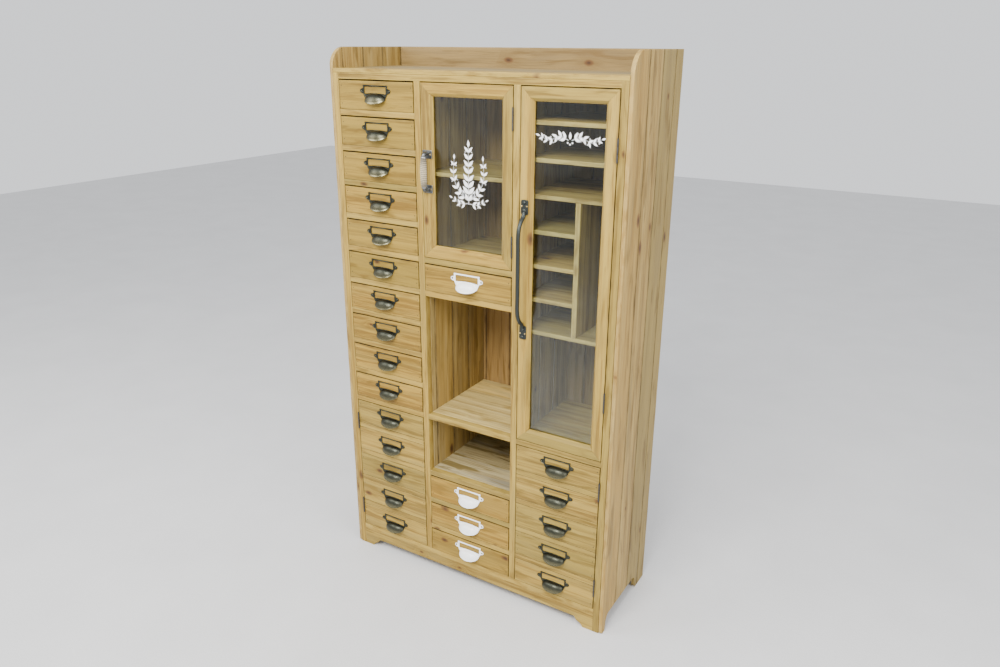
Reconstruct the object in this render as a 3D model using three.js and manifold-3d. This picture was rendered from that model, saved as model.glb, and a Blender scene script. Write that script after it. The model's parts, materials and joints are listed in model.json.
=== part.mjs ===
// Apothecary cabinet: a carcass of tongued boards in three columns, with fourteen inset drawers, two glazed
// doors, two cupboard doors dressed as stacks of drawers, two open niches and a low gallery round the top.
// Units are millimetres and +Z is up. The front faces -Y, and the origin lies on the floor at the centre of the
// box that holds the carcass and its handles.
import * as THREE from "three";
import { mergeVertices } from "three/addons/utils/BufferGeometryUtils.js";
import Module from "manifold-3d";

const wasm = await Module();
wasm.setup();

// ---------------------------------------------------------------------------------------------------------
// Driving dimensions
// ---------------------------------------------------------------------------------------------------------
const WIDTH = 1000;
const DEPTH = 356; // carcass only, without handles
const HANDLE_REACH = 44; // how far the iron handle stands in front of the carcass
const FIT = 0.3; // clearance between pieces that rest on each other

const PANEL = 12; // side panels and gallery
const BACK_PANEL = 10;
const TOP_BOARD = 13;
const SHELF = 12;
const RAIL = 18; // rails, and the fixed boards behind them
const FRAME_DEPTH = 24;
const SIDE_STILE = 21;
const DIVIDER = 21.5;
const COLUMN_WIDTHS = [286, 315, 290]; // left, middle and right openings
const GALLERY_HEIGHT = 61;
const GALLERY_RADIUS = 62;

const FOOT_HEIGHT = 32; // clear height under the apron
const SIDE_CUT_HEIGHT = 54;
const APRON_HEIGHT = 66.5;
const APRON_THICKNESS = 18;

const UPPER_ROWS = 10;
const UPPER_ROW_HEIGHT = 89.65;
const LOWER_ROWS = 5;
const LOWER_ROW_HEIGHT = 87.6;
const TOP_DOOR_ROWS = 5; // rows that the middle glazed door covers

const BOARD_WIDTH = 98; // between the joints of tongued boards
const JOINT_HALF_WIDTH = 1.2;
const JOINT_DEPTH = 1.6;
const FIRST_JOINT = { left: 49, right: 100, divider: 26, back: 44 };

const DRAWER = { side: 1.5, top: 2.2, bottom: 0.5, front: 18, wall: 9, base: 6, inset: 3, drop: 14, length: 324 };
const DOOR = { side: 1.8, top: 2, bottom: 1.5, thickness: 20, member: 38, bevel: 9, rebate: 7, glassAt: 14 };
const GLASS = 3;
const CUPBOARD_DOOR = 18;
const FALSE_RAIL_GROOVE = 2;
const HINGE = { radius: 2.6, forward: 2.9, length: 60, leaf: 0.8, leafDepth: 15 };

const SHELF_PITCH = 101; // between the shelves of the right cupboard
const LOWEST_RIGHT_SHELF = 962;
const PIGEONHOLE = { width: 164, upright: 15 };
const MIDDLE_SHELF_UNDERSIDE = 1400;

const RUNNER = { height: 14, width: 12, bar: 12, post: 20, guide: 12 };

const PULL = { halfWidth: 46, halfHeight: 27, ear: 58, plate: 2, windowHalf: 40, cupReach: 24, cupWall: 0.1 };
const PULL_RISE = 2; // above the middle of its row
const IRON_HANDLE = { length: 415, plateWidth: 23, plate: 42, thickness: 3, bar: 6, reach: 36.9, x: 195.5, z: 1157 };
const ROPE_HANDLE = { length: 128, plateWidth: 34, plate: 26, grip: 8.5, reach: 24, x: -137, z: 1415 };

// ---------------------------------------------------------------------------------------------------------
// Places worked out from them
// ---------------------------------------------------------------------------------------------------------
const FRONT = -(DEPTH - HANDLE_REACH) / 2;
const BACK = FRONT + DEPTH;
const BACK_FACE = BACK - BACK_PANEL; // front face of the back panel
const BEHIND_FRAME = FRONT + FRAME_DEPTH;
const INNER = WIDTH / 2 - PANEL; // inner face of a side panel
const OPENING_BOTTOM = APRON_HEIGHT + RAIL;
const ROWS = UPPER_ROWS + LOWER_ROWS;

const columnLeft = [-INNER + SIDE_STILE];
columnLeft.push(columnLeft[0] + COLUMN_WIDTHS[0] + DIVIDER);
columnLeft.push(columnLeft[1] + COLUMN_WIDTHS[1] + DIVIDER);
const columns = columnLeft.map((left, index) => [left, left + COLUMN_WIDTHS[index]]);
const [LEFT, MIDDLE, RIGHT] = columns;

// Rows are numbered from 1 at the top, and a row's bottom is the top of the rail below it.
function rowBottom(row) {
  if (row > UPPER_ROWS) {
    return OPENING_BOTTOM + (ROWS - row) * (LOWER_ROW_HEIGHT + RAIL);
  }
  const firstUpper = OPENING_BOTTOM + LOWER_ROWS * (LOWER_ROW_HEIGHT + RAIL);
  return firstUpper + (UPPER_ROWS - row) * (UPPER_ROW_HEIGHT + RAIL);
}

function rowTop(row) {
  return rowBottom(row) + (row > UPPER_ROWS ? LOWER_ROW_HEIGHT : UPPER_ROW_HEIGHT);
}

const FRAME_TOP = rowTop(1) + RAIL;
const TOP_FACE = FRAME_TOP + TOP_BOARD;
const HEIGHT = TOP_FACE + GALLERY_HEIGHT;
const MID_LEVEL = rowBottom(UPPER_ROWS); // top of the boards that part the upper and lower rows

// ---------------------------------------------------------------------------------------------------------
// Finishes
// ---------------------------------------------------------------------------------------------------------
function finish(color, roughness, metalness) {
  return new THREE.MeshStandardMaterial({ color, roughness, metalness });
}

const frontWood = finish(0xc9ae7e, 0.75, 0);
const sideWood = finish(0xae956a, 0.8, 0);
const insideWood = finish(0x8a7048, 0.85, 0);
const boxWood = finish(0xc2b08c, 0.85, 0);
const pewter = finish(0x6a6f66, 0.4, 0.9);
const enamel = finish(0xf1f0ec, 0.35, 0.1);
const iron = finish(0x4b555c, 0.5, 0.8);
const cord = finish(0xe2d8c4, 0.9, 0);
const glass = new THREE.MeshStandardMaterial({ color: 0xa8b0b0, roughness: 0.05, transparent: true, opacity: 0.35 });

// ---------------------------------------------------------------------------------------------------------
// Solids
// ---------------------------------------------------------------------------------------------------------
function solidFrom(geometry) {
  const bare = geometry.clone();
  bare.deleteAttribute("normal");
  bare.deleteAttribute("uv");
  const merged = mergeVertices(bare);
  const vertProperties = Float32Array.from(merged.attributes.position.array);
  const triVerts = Uint32Array.from(merged.index.array);
  return new wasm.Manifold(new wasm.Mesh({ numProp: 3, vertProperties, triVerts }));
}

function geometryFrom(solid) {
  const mesh = solid.getMesh();
  const geometry = new THREE.BufferGeometry();
  geometry.setAttribute("position", new THREE.BufferAttribute(mesh.vertProperties, 3));
  geometry.setIndex(new THREE.BufferAttribute(mesh.triVerts, 1));
  geometry.computeVertexNormals();
  return geometry;
}

function block([x0, x1], [y0, y1], [z0, z1]) {
  const box = new THREE.BoxGeometry(x1 - x0, y1 - y0, z1 - z0);
  return solidFrom(box.translate((x0 + x1) / 2, (y0 + y1) / 2, (z0 + z1) / 2));
}

function joined(solids) {
  return solids.reduce((sum, solid) => sum.add(solid));
}

const X = new THREE.Vector3(1, 0, 0);
const Y = new THREE.Vector3(0, 1, 0);
const Z = new THREE.Vector3(0, 0, 1);

// A shape drawn in (x, y) and extruded upwards.
function extrudeUp(shape, [z0, z1]) {
  return solidFrom(new THREE.ExtrudeGeometry(shape, { depth: z1 - z0, bevelEnabled: false }).translate(0, 0, z0));
}

// A shape drawn in (y, z) and extruded along x.
function extrudeAcross(shape, [x0, x1]) {
  const geometry = new THREE.ExtrudeGeometry(shape, { depth: x1 - x0, bevelEnabled: false, curveSegments: 8 });
  geometry.applyMatrix4(new THREE.Matrix4().makeBasis(Y, Z, X));
  return solidFrom(geometry.translate(x0, 0, 0));
}

// A shape drawn in (x, z) and extruded towards the back.
function extrudeBack(shape, [y0, y1], options = {}) {
  const settings = { depth: y1 - y0, bevelEnabled: false, curveSegments: 6, ...options };
  const geometry = new THREE.ExtrudeGeometry(shape, settings);
  geometry.applyMatrix4(new THREE.Matrix4().makeBasis(X, Z, Y.clone().negate()));
  return solidFrom(geometry.translate(0, y1, 0));
}

function rectangle([x0, x1], [z0, z1]) {
  const shape = new THREE.Shape();
  shape.moveTo(x0, z0);
  shape.lineTo(x1, z0);
  shape.lineTo(x1, z1);
  shape.lineTo(x0, z1);
  return shape;
}

function place(name, solid, material, x = 0, y = 0, z = 0) {
  const mesh = new THREE.Mesh(geometryFrom(solid), material);
  mesh.name = name;
  mesh.position.set(x, y, z);
  return mesh;
}

// Where the joints between tongued boards fall in a panel that runs from one place to another.
function jointsBetween(from, to, first) {
  const joints = [];
  for (let joint = from + first; joint < to - JOINT_DEPTH * 4; joint += BOARD_WIDTH) {
    joints.push(joint);
  }
  return joints;
}

// Section of tongued boards: a strip with a V along each joint on both faces. The first number of each point is
// measured across the boards and the second through their thickness.
function boardSection([from, to], [face, back], joints) {
  const points = [[from, face]];
  for (const joint of joints) {
    points.push([joint - JOINT_HALF_WIDTH, face], [joint, face + JOINT_DEPTH], [joint + JOINT_HALF_WIDTH, face]);
  }
  points.push([to, face], [to, back]);
  for (const joint of [...joints].reverse()) {
    points.push([joint + JOINT_HALF_WIDTH, back], [joint, back - JOINT_DEPTH], [joint - JOINT_HALF_WIDTH, back]);
  }
  points.push([from, back]);
  return points;
}

function shapeThrough(points) {
  return new THREE.Shape(points.map(([a, b]) => new THREE.Vector2(a, b)));
}

// ---------------------------------------------------------------------------------------------------------
// Carcass
// ---------------------------------------------------------------------------------------------------------
const SIDE_FOOT = { front: 24, back: 78, curve: 30, worn: 8 };

// Outline of a side panel in (y, z): two feet, a shallow arch between them and a round front top corner.
function sideOutline() {
  const { front, back, curve, worn } = SIDE_FOOT;
  const shape = new THREE.Shape();
  shape.moveTo(FRONT + worn, 0);
  shape.lineTo(FRONT + front, 0);
  shape.quadraticCurveTo(FRONT + front, SIDE_CUT_HEIGHT, FRONT + front + curve, SIDE_CUT_HEIGHT);
  shape.lineTo(BACK - back - curve, SIDE_CUT_HEIGHT);
  shape.quadraticCurveTo(BACK - back, SIDE_CUT_HEIGHT, BACK - back, 0);
  shape.lineTo(BACK, 0);
  shape.lineTo(BACK, HEIGHT);
  shape.lineTo(FRONT + GALLERY_RADIUS, HEIGHT);
  shape.absarc(FRONT + GALLERY_RADIUS, HEIGHT - GALLERY_RADIUS, GALLERY_RADIUS, Math.PI / 2, Math.PI, false);
  shape.lineTo(FRONT, worn);
  shape.absarc(FRONT + worn, worn, worn, Math.PI, Math.PI * 1.5, false);
  return shape;
}

function sidePanel(outerX, innerX, firstJoint) {
  const joints = jointsBetween(FRONT, BACK, firstJoint);
  const section = boardSection([FRONT, BACK], [Math.min(outerX, innerX), Math.max(outerX, innerX)], joints);
  const boards = extrudeUp(shapeThrough(section.map(([y, x]) => [x, y])), [0, HEIGHT]);
  return boards.intersect(extrudeAcross(sideOutline(), [Math.min(outerX, innerX) - 1, Math.max(outerX, innerX) + 1]));
}

function dividerPanel([x0, x1]) {
  const joints = jointsBetween(BEHIND_FRAME, BACK_FACE, FIRST_JOINT.divider);
  const section = boardSection([BEHIND_FRAME + FIT, BACK_FACE - FIT], [x0, x1], joints);
  return extrudeUp(shapeThrough(section.map(([y, x]) => [x, y])), [OPENING_BOTTOM + FIT, FRAME_TOP - FIT]);
}

function backPanel() {
  const span = [-INNER + FIT, INNER - FIT];
  const section = boardSection(span, [BACK_FACE, BACK], jointsBetween(span[0], span[1], FIRST_JOINT.back));
  return extrudeUp(shapeThrough(section), [FOOT_HEIGHT, FRAME_TOP - FIT]);
}

// Stiles, rails and the front edges of the dividers, glued up as one flat frame.
function faceFrame() {
  const lap = 2; // how far a rail's tenon enters the upright
  const depth = [FRONT, BEHIND_FRAME];
  const members = [
    block([-INNER + FIT, LEFT[0]], depth, [0, FRAME_TOP - FIT]),
    block([RIGHT[1], INNER - FIT], depth, [0, FRAME_TOP - FIT]),
    block([LEFT[1], MIDDLE[0]], depth, [OPENING_BOTTOM + FIT, FRAME_TOP - FIT]),
    block([MIDDLE[1], RIGHT[0]], depth, [OPENING_BOTTOM + FIT, FRAME_TOP - FIT]),
    block([LEFT[0] - lap, RIGHT[1] + lap], depth, [rowTop(1), FRAME_TOP - FIT]),
  ];
  const railsBelow = [
    [LEFT, [1, 2, 3, 4, 5, 6, 7, 8, 9, 10]],
    [MIDDLE, [5, 6, 10, 12, 13, 14]],
    [RIGHT, [10]],
  ];
  for (const [[x0, x1], rows] of railsBelow) {
    for (const row of rows) {
      members.push(block([x0 - lap, x1 + lap], depth, [rowBottom(row) - RAIL, rowBottom(row)]));
    }
  }
  return joined(members);
}

const APRON_FOOT = { outer: 36, slope: 30 };

// Front apron between the stiles: a foot at each end and an ogee up to the straight lower edge.
function frontApron() {
  const half = RIGHT[1] - FIT;
  const footEnd = half - APRON_FOOT.outer;
  const rise = footEnd - APRON_FOOT.slope;
  const middle = (footEnd + rise) / 2;
  const shape = new THREE.Shape();
  shape.moveTo(-half, 0);
  shape.lineTo(-footEnd, 0);
  shape.quadraticCurveTo(-footEnd + APRON_FOOT.slope / 8, FOOT_HEIGHT / 2, -middle, FOOT_HEIGHT / 2);
  shape.quadraticCurveTo(-rise - APRON_FOOT.slope / 8, FOOT_HEIGHT / 2, -rise, FOOT_HEIGHT);
  shape.lineTo(rise, FOOT_HEIGHT);
  shape.quadraticCurveTo(rise + APRON_FOOT.slope / 8, FOOT_HEIGHT / 2, middle, FOOT_HEIGHT / 2);
  shape.quadraticCurveTo(footEnd - APRON_FOOT.slope / 8, FOOT_HEIGHT / 2, footEnd, 0);
  shape.lineTo(half, 0);
  shape.lineTo(half, APRON_HEIGHT - FIT);
  shape.lineTo(-half, APRON_HEIGHT - FIT);
  return extrudeBack(shape, [FRONT, FRONT + APRON_THICKNESS]);
}

// The bottom board shows its front edge between the stiles and spreads to the side panels behind them.
function bottomBoard() {
  const narrow = RIGHT[1] - FIT;
  const wide = INNER - FIT;
  const step = BEHIND_FRAME + FIT;
  const back = BACK_FACE - FIT;
  const outline = [[-narrow, FRONT], [narrow, FRONT], [narrow, step], [wide, step], [wide, back]];
  outline.push([-wide, back], [-wide, step], [-narrow, step]);
  return extrudeUp(shapeThrough(outline), [APRON_HEIGHT, OPENING_BOTTOM]);
}

// A fixed board behind the face frame, level with a rail.
function railBoard([x0, x1], row) {
  return block([x0 + FIT, x1 - FIT], [BEHIND_FRAME + FIT, BACK_FACE - FIT], [rowBottom(row) - RAIL, rowBottom(row)]);
}

function shelfBoard([x0, x1], underside) {
  return block([x0 + FIT, x1 - FIT], [BEHIND_FRAME + FIT, BACK_FACE - FIT], [underside, underside + SHELF]);
}

function carcass() {
  const leftDivider = [LEFT[1], MIDDLE[0]];
  const rightDivider = [MIDDLE[1], RIGHT[0]];
  const wholeWidth = [-INNER + FIT, INNER - FIT];
  return [
    place("side_panel_left", sidePanel(-WIDTH / 2, -INNER, FIRST_JOINT.left), sideWood),
    place("side_panel_right", sidePanel(WIDTH / 2, INNER, FIRST_JOINT.right), sideWood),
    place("face_frame", faceFrame(), frontWood),
    place("front_apron", frontApron(), frontWood),
    place("divider_left", dividerPanel(leftDivider), insideWood),
    place("divider_right", dividerPanel(rightDivider), insideWood),
    place("back_panel", backPanel(), insideWood),
    place("top_board", block(wholeWidth, [FRONT, BACK - PANEL - FIT], [FRAME_TOP, TOP_FACE]), frontWood),
    place("gallery_board", block(wholeWidth, [BACK - PANEL, BACK], [FRAME_TOP, HEIGHT]), sideWood),
    place("bottom_board", bottomBoard(), frontWood),
  ];
}

// ---------------------------------------------------------------------------------------------------------
// Fixed boards inside
// ---------------------------------------------------------------------------------------------------------
const BEHIND_LEFT = [-INNER, LEFT[1]]; // clear width of each column behind the face frame
const BEHIND_RIGHT = [RIGHT[0], INNER];

// One upright with three short shelves housed in it, between the third and fourth full shelves.
function pigeonholeRack() {
  const x0 = RIGHT[0] + PIGEONHOLE.width;
  const depth = [BEHIND_FRAME + FIT, BACK_FACE - FIT];
  const low = LOWEST_RIGHT_SHELF + SHELF + FIT;
  const high = LOWEST_RIGHT_SHELF + 4 * SHELF_PITCH - FIT;
  const pieces = [block([x0, x0 + PIGEONHOLE.upright], depth, [low, high])];
  for (let level = 1; level <= 3; level += 1) {
    const underside = LOWEST_RIGHT_SHELF + level * SHELF_PITCH;
    pieces.push(block([RIGHT[0] + FIT, x0 + 1], depth, [underside, underside + SHELF]));
  }
  return joined(pieces);
}

function insideBoards() {
  const boards = [
    place("left_cupboard_top", railBoard(BEHIND_LEFT, UPPER_ROWS), insideWood),
    place("middle_cupboard_shelf", shelfBoard(MIDDLE, MIDDLE_SHELF_UNDERSIDE), insideWood),
    place("middle_cupboard_floor", railBoard(MIDDLE, TOP_DOOR_ROWS), insideWood),
    place("niche_top", railBoard(MIDDLE, TOP_DOOR_ROWS + 1), insideWood),
    place("niche_shelf", railBoard(MIDDLE, UPPER_ROWS), insideWood),
    place("lower_niche_floor", railBoard(MIDDLE, UPPER_ROWS + 2), insideWood),
    place("right_cupboard_floor", railBoard(BEHIND_RIGHT, UPPER_ROWS), insideWood),
    place("pigeonhole_rack", pigeonholeRack(), insideWood),
  ];
  for (const [index, level] of [6, 5, 4, 0].entries()) {
    const underside = LOWEST_RIGHT_SHELF + level * SHELF_PITCH;
    boards.push(place(`right_cupboard_shelf_${index + 1}`, shelfBoard(BEHIND_RIGHT, underside), insideWood));
  }
  return boards;
}

// Runners for the drawers of one column. Each level is a U of two side runners and a bar at the back, and a post
// behind the drawers ties the levels together.
function runnerFrame([x0, x1], [drawerLeft, drawerRight], rows) {
  const barBack = BACK_FACE - FIT;
  const barFront = barBack - RUNNER.bar;
  const middle = (x0 + x1) / 2;
  const levels = rows.map(rowBottom);
  const post = [Math.min(...levels) - RUNNER.height, Math.max(...levels)];
  const pieces = [block([middle - RUNNER.post / 2, middle + RUNNER.post / 2], [barFront, barBack], post)];
  const along = [BEHIND_FRAME + FIT, barBack];
  for (const level of levels) {
    const height = [level - RUNNER.height, level];
    pieces.push(block([x0 + FIT, drawerLeft + RUNNER.width], along, height));
    pieces.push(block([drawerRight - RUNNER.width, x1 - FIT], along, height));
    pieces.push(block([x0 + FIT, x1 - FIT], [barFront, barBack], height));
    if (drawerLeft - x0 > RUNNER.guide) {
      pieces.push(block([x0 + FIT, drawerLeft], along, [level - 1, level + RUNNER.guide]));
    }
  }
  return joined(pieces);
}

function runners() {
  const leftRows = [1, 2, 3, 4, 5, 6, 7, 8, 9];
  return [
    place("drawer_runners_left", runnerFrame(BEHIND_LEFT, LEFT, leftRows), insideWood),
    place("drawer_runners_middle", runnerFrame(MIDDLE, MIDDLE, [13, 14]), insideWood),
  ];
}

// ---------------------------------------------------------------------------------------------------------
// Cup pull with a label window
// ---------------------------------------------------------------------------------------------------------
function pullPlateShape() {
  const { halfWidth, halfHeight, ear, windowHalf } = PULL;
  const outline = [
    [-halfWidth, halfHeight], [-halfWidth, 19], [-ear, 10], [-halfWidth, 0], [-42, -10], [-27, -halfHeight],
    [27, -halfHeight], [42, -10], [halfWidth, 0], [ear, 10], [halfWidth, 19], [halfWidth, halfHeight],
  ];
  const shape = shapeThrough(outline);
  shape.holes.push(rectangle([-windowHalf, windowHalf], [3, 22]));
  return shape;
}

// The cup: half a ring carried from the lip up to the window, wider and flatter as it rises.
function pullCup() {
  const ring = new THREE.Shape();
  ring.absarc(0, 0, 1, Math.PI, Math.PI * 2, false);
  ring.lineTo(1 - PULL.cupWall, 0);
  ring.absarc(0, 0, 1 - PULL.cupWall, Math.PI * 2, Math.PI, true);
  const geometry = new THREE.ExtrudeGeometry(ring, { depth: 1, steps: 3, bevelEnabled: false, curveSegments: 7 });
  const position = geometry.attributes.position;
  const lipHalfWidth = 27;
  const topHalfWidth = 43;
  const buried = 1.2; // reach of the cup's top, inside the plate's thickness
  const height = PULL.halfHeight + 1;
  for (let i = 0; i < position.count; i += 1) {
    const rise = position.getZ(i);
    const quarter = (rise * Math.PI) / 2;
    const halfWidth = lipHalfWidth + (topHalfWidth - lipHalfWidth) * Math.sin(quarter);
    const reach = buried + (PULL.cupReach - buried) * Math.cos(quarter);
    position.setXYZ(i, position.getX(i) * halfWidth, position.getY(i) * reach, -PULL.halfHeight + rise * height);
  }
  return solidFrom(geometry);
}

const pullSolid = extrudeBack(pullPlateShape(), [-PULL.plate, 0]).add(pullCup());

// ---------------------------------------------------------------------------------------------------------
// Drawers
// ---------------------------------------------------------------------------------------------------------
// Origin at the middle of the front's lower edge, on its front face.
function drawerSolid(openingWidth, openingHeight) {
  const half = openingWidth / 2 - DRAWER.side;
  const boxHalf = half - DRAWER.inset;
  const height = openingHeight - DRAWER.top - DRAWER.bottom;
  const front = block([-half, half], [0, DRAWER.front], [0, height]);
  const box = block([-boxHalf, boxHalf], [DRAWER.front - 1, DRAWER.length], [0, height - DRAWER.drop]);
  const cavityHalf = boxHalf - DRAWER.wall;
  const cavity = block([-cavityHalf, cavityHalf], [DRAWER.front, DRAWER.length - DRAWER.wall], [DRAWER.base, height]);
  return front.add(box).subtract(cavity);
}

function drawerColumn(label, [x0, x1], rows, pullMaterial) {
  return rows.map((row, index) => {
    const drawer = new THREE.Group();
    const height = rowTop(row) - rowBottom(row);
    drawer.position.set((x0 + x1) / 2, FRONT, rowBottom(row) + DRAWER.bottom);
    const number = String(index + 1).padStart(2, "0");
    drawer.add(place(`drawer_${label}_${number}`, drawerSolid(x1 - x0, height), boxWood));
    const middle = height / 2 - DRAWER.bottom + PULL_RISE;
    drawer.add(place(`pull_${label}_${number}`, pullSolid, pullMaterial, 0, -FIT, middle));
    return drawer;
  });
}

// ---------------------------------------------------------------------------------------------------------
// Doors
// ---------------------------------------------------------------------------------------------------------
// Knuckle and leaf of a small butt hinge on the door's edge. side is 1 on a door hung on the right.
function hingeKnuckle(half, side, z) {
  const axis = half + DOOR.side / 2;
  const barrel = new THREE.CylinderGeometry(HINGE.radius, HINGE.radius, HINGE.length, 12).rotateX(Math.PI / 2);
  const leafOuter = side * (half + HINGE.leaf);
  const leafInner = side * (half - 0.5);
  const span = [Math.min(leafOuter, leafInner), Math.max(leafOuter, leafInner)];
  const leaf = block(span, [-HINGE.forward, HINGE.leafDepth], [z - HINGE.length / 2, z + HINGE.length / 2]);
  return solidFrom(barrel.translate(side * axis, -HINGE.forward, z)).add(leaf);
}

// Mitred frame with a bevelled sight edge and a rebate for the pane behind it.
function glazedFrame(width, height, hingeHeights) {
  const half = width / 2;
  const sight = [-half + DOOR.member, half - DOOR.member];
  const sightHeight = [DOOR.member, height - DOOR.member];
  const slab = block([-half, half], [0, DOOR.thickness], [0, height]);
  const opening = block(sight, [-1, DOOR.thickness + 1], sightHeight);
  const bevel = { bevelEnabled: true, bevelThickness: DOOR.bevel, bevelSize: DOOR.bevel, bevelSegments: 1 };
  const splay = extrudeBack(rectangle(sight, sightHeight), [-2 * DOOR.bevel, 0], bevel);
  const [wide, tall] = [sight, sightHeight].map(([a, b]) => [a - DOOR.rebate, b + DOOR.rebate]);
  const rebate = block(wide, [DOOR.glassAt, DOOR.thickness + 1], tall);
  const frame = slab.subtract(opening).subtract(splay).subtract(rebate);
  return joined([frame, ...hingeHeights.map((z) => hingeKnuckle(half, 1, z))]);
}

function pane(width, height) {
  const half = width / 2 - DOOR.member + DOOR.rebate - 2 * FIT;
  const low = DOOR.member - DOOR.rebate + 2 * FIT;
  const behind = DOOR.glassAt + FIT;
  return block([-half, half], [behind, behind + GLASS], [low, height - low]);
}

function glazedDoor(label, [x0, x1], [z0, z1], hingeHeights) {
  const door = new THREE.Group();
  door.position.set((x0 + x1) / 2, FRONT, z0 + DOOR.bottom);
  const width = x1 - x0 - 2 * DOOR.side;
  const height = z1 - z0 - DOOR.top - DOOR.bottom;
  door.add(place(`${label}_door_frame`, glazedFrame(width, height, hingeHeights), frontWood));
  door.add(place(`${label}_door_pane`, pane(width, height), glass));
  return door;
}

// Cupboard door grooved to look like five drawers, with a pull on each. side is 1 when it is hung on the right.
function cupboardDoor(name, [x0, x1], side) {
  const base = OPENING_BOTTOM + DOOR.bottom;
  const height = rowTop(UPPER_ROWS + 1) - DOOR.top - base;
  const half = (x1 - x0) / 2 - DOOR.side;
  let slab = block([-half, half], [0, CUPBOARD_DOOR], [0, height]);
  const grooveHalf = FALSE_RAIL_GROOVE / 2;
  for (let row = UPPER_ROWS + 1; row < ROWS; row += 1) {
    for (const edge of [rowBottom(row), rowBottom(row) - RAIL]) {
      const z = edge - base;
      const span = [-half - 1, half + 1];
      slab = slab.subtract(block(span, [-1, FALSE_RAIL_GROOVE], [z - grooveHalf, z + grooveHalf]));
    }
  }
  const pieces = [slab, hingeKnuckle(half, side, height * 0.16), hingeKnuckle(half, side, height * 0.84)];
  for (let row = UPPER_ROWS + 1; row <= ROWS; row += 1) {
    const z = (rowBottom(row) + rowTop(row)) / 2 + PULL_RISE - base;
    pieces.push(pullSolid.translate([0, 0.2, z]));
  }
  return place(name, joined(pieces), frontWood, (x0 + x1) / 2, FRONT, base);
}

// ---------------------------------------------------------------------------------------------------------
// Door handles
// ---------------------------------------------------------------------------------------------------------
function ironHandle() {
  const { length, plateWidth, plate, thickness, bar, reach } = IRON_HANDLE;
  const end = length / 2;
  const inner = end - plate;
  const upper = [[end - plate / 2, bar + 0.2], [inner, bar + 2], [inner - 22, reach * 0.82], [inner - 60, reach]];
  const lower = upper.map(([z, out]) => [-z, out]).reverse();
  const path = [...upper, [0, reach - 1], ...lower].map(([z, out]) => new THREE.Vector3(0, -out, z));
  const circle = new THREE.Shape().absarc(0, 0, bar, 0, Math.PI * 2);
  const settings = { steps: 26, curveSegments: 10, extrudePath: new THREE.CatmullRomCurve3(path) };
  const pieces = [solidFrom(new THREE.ExtrudeGeometry(circle, settings))];
  for (const side of [-1, 1]) {
    const plateEnds = [side * inner, side * end].sort((a, b) => a - b);
    pieces.push(block([-plateWidth / 2, plateWidth / 2], [-thickness, 0], plateEnds));
    const screw = new THREE.SphereGeometry(5, 8, 6).translate(0, -thickness, side * (end - 8));
    pieces.push(solidFrom(screw));
  }
  return joined(pieces).trimByPlane([0, -1, 0], 0);
}

function ropeHandle() {
  const { length, plateWidth, plate, grip, reach } = ROPE_HANDLE;
  const end = length / 2;
  const gripEnd = end - plate / 2;
  const bar = new THREE.CylinderGeometry(grip, grip, 2 * gripEnd, 16).rotateX(Math.PI / 2).translate(0, -reach, 0);
  const pieces = [solidFrom(bar)];
  for (const side of [-1, 1]) {
    const plateEnds = [side * (end - plate), side * end].sort((a, b) => a - b);
    const postEnds = [side * (gripEnd - 5), side * (gripEnd + 5)].sort((a, b) => a - b);
    pieces.push(block([-plateWidth / 2, plateWidth / 2], [-2.5, 0], plateEnds));
    pieces.push(block([-6, 6], [-reach - grip, 0], postEnds));
  }
  return joined(pieces);
}

// ---------------------------------------------------------------------------------------------------------
// Assembly
// ---------------------------------------------------------------------------------------------------------
const cabinet = new THREE.Group();
cabinet.add(...carcass(), ...insideBoards(), ...runners());
cabinet.add(...drawerColumn("left", LEFT, [1, 2, 3, 4, 5, 6, 7, 8, 9, 10], pewter));
cabinet.add(...drawerColumn("middle", MIDDLE, [6, 13, 14, 15], enamel));
cabinet.add(glazedDoor("middle", MIDDLE, [rowBottom(TOP_DOOR_ROWS), rowTop(1)], [70, 430]));
cabinet.add(glazedDoor("tall", RIGHT, [MID_LEVEL, rowTop(1)], [150, 905]));
cabinet.add(cupboardDoor("cupboard_door_left", LEFT, -1));
cabinet.add(cupboardDoor("cupboard_door_right", RIGHT, 1));
cabinet.add(place("iron_handle", ironHandle(), iron, IRON_HANDLE.x, FRONT - FIT, IRON_HANDLE.z));
cabinet.add(place("rope_handle", ropeHandle(), cord, ROPE_HANDLE.x, FRONT - FIT, ROPE_HANDLE.z));

export default cabinet;
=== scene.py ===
import json
import math

import bpy
import numpy as np
from mathutils import Matrix, Vector


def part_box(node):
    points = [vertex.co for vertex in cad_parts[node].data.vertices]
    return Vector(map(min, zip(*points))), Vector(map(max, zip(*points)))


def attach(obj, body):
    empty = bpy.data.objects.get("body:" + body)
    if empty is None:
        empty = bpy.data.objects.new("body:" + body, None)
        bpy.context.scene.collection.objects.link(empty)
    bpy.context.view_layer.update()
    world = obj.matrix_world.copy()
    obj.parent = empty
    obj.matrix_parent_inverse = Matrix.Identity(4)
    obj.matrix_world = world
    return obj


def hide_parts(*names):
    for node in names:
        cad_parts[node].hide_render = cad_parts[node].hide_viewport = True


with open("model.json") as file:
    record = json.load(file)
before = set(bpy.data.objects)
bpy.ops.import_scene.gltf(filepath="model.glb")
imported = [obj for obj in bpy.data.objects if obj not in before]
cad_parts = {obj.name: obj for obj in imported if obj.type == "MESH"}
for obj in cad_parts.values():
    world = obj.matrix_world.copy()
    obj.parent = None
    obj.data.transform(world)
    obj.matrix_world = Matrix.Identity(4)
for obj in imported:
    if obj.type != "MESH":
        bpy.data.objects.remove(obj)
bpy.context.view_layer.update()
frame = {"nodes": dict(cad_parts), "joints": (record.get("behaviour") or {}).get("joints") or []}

bl_info = {
    "name": "Apothecary Cabinet",
    "version": (1, 0, 0),
    "blender": (4, 5, 0),
    "location": "3D View > Sidebar > Cabinet",
    "description": "Builds the boards, drawers, doors, glass and fittings of an apothecary cabinet",
    "category": "Add Mesh",
}

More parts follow.
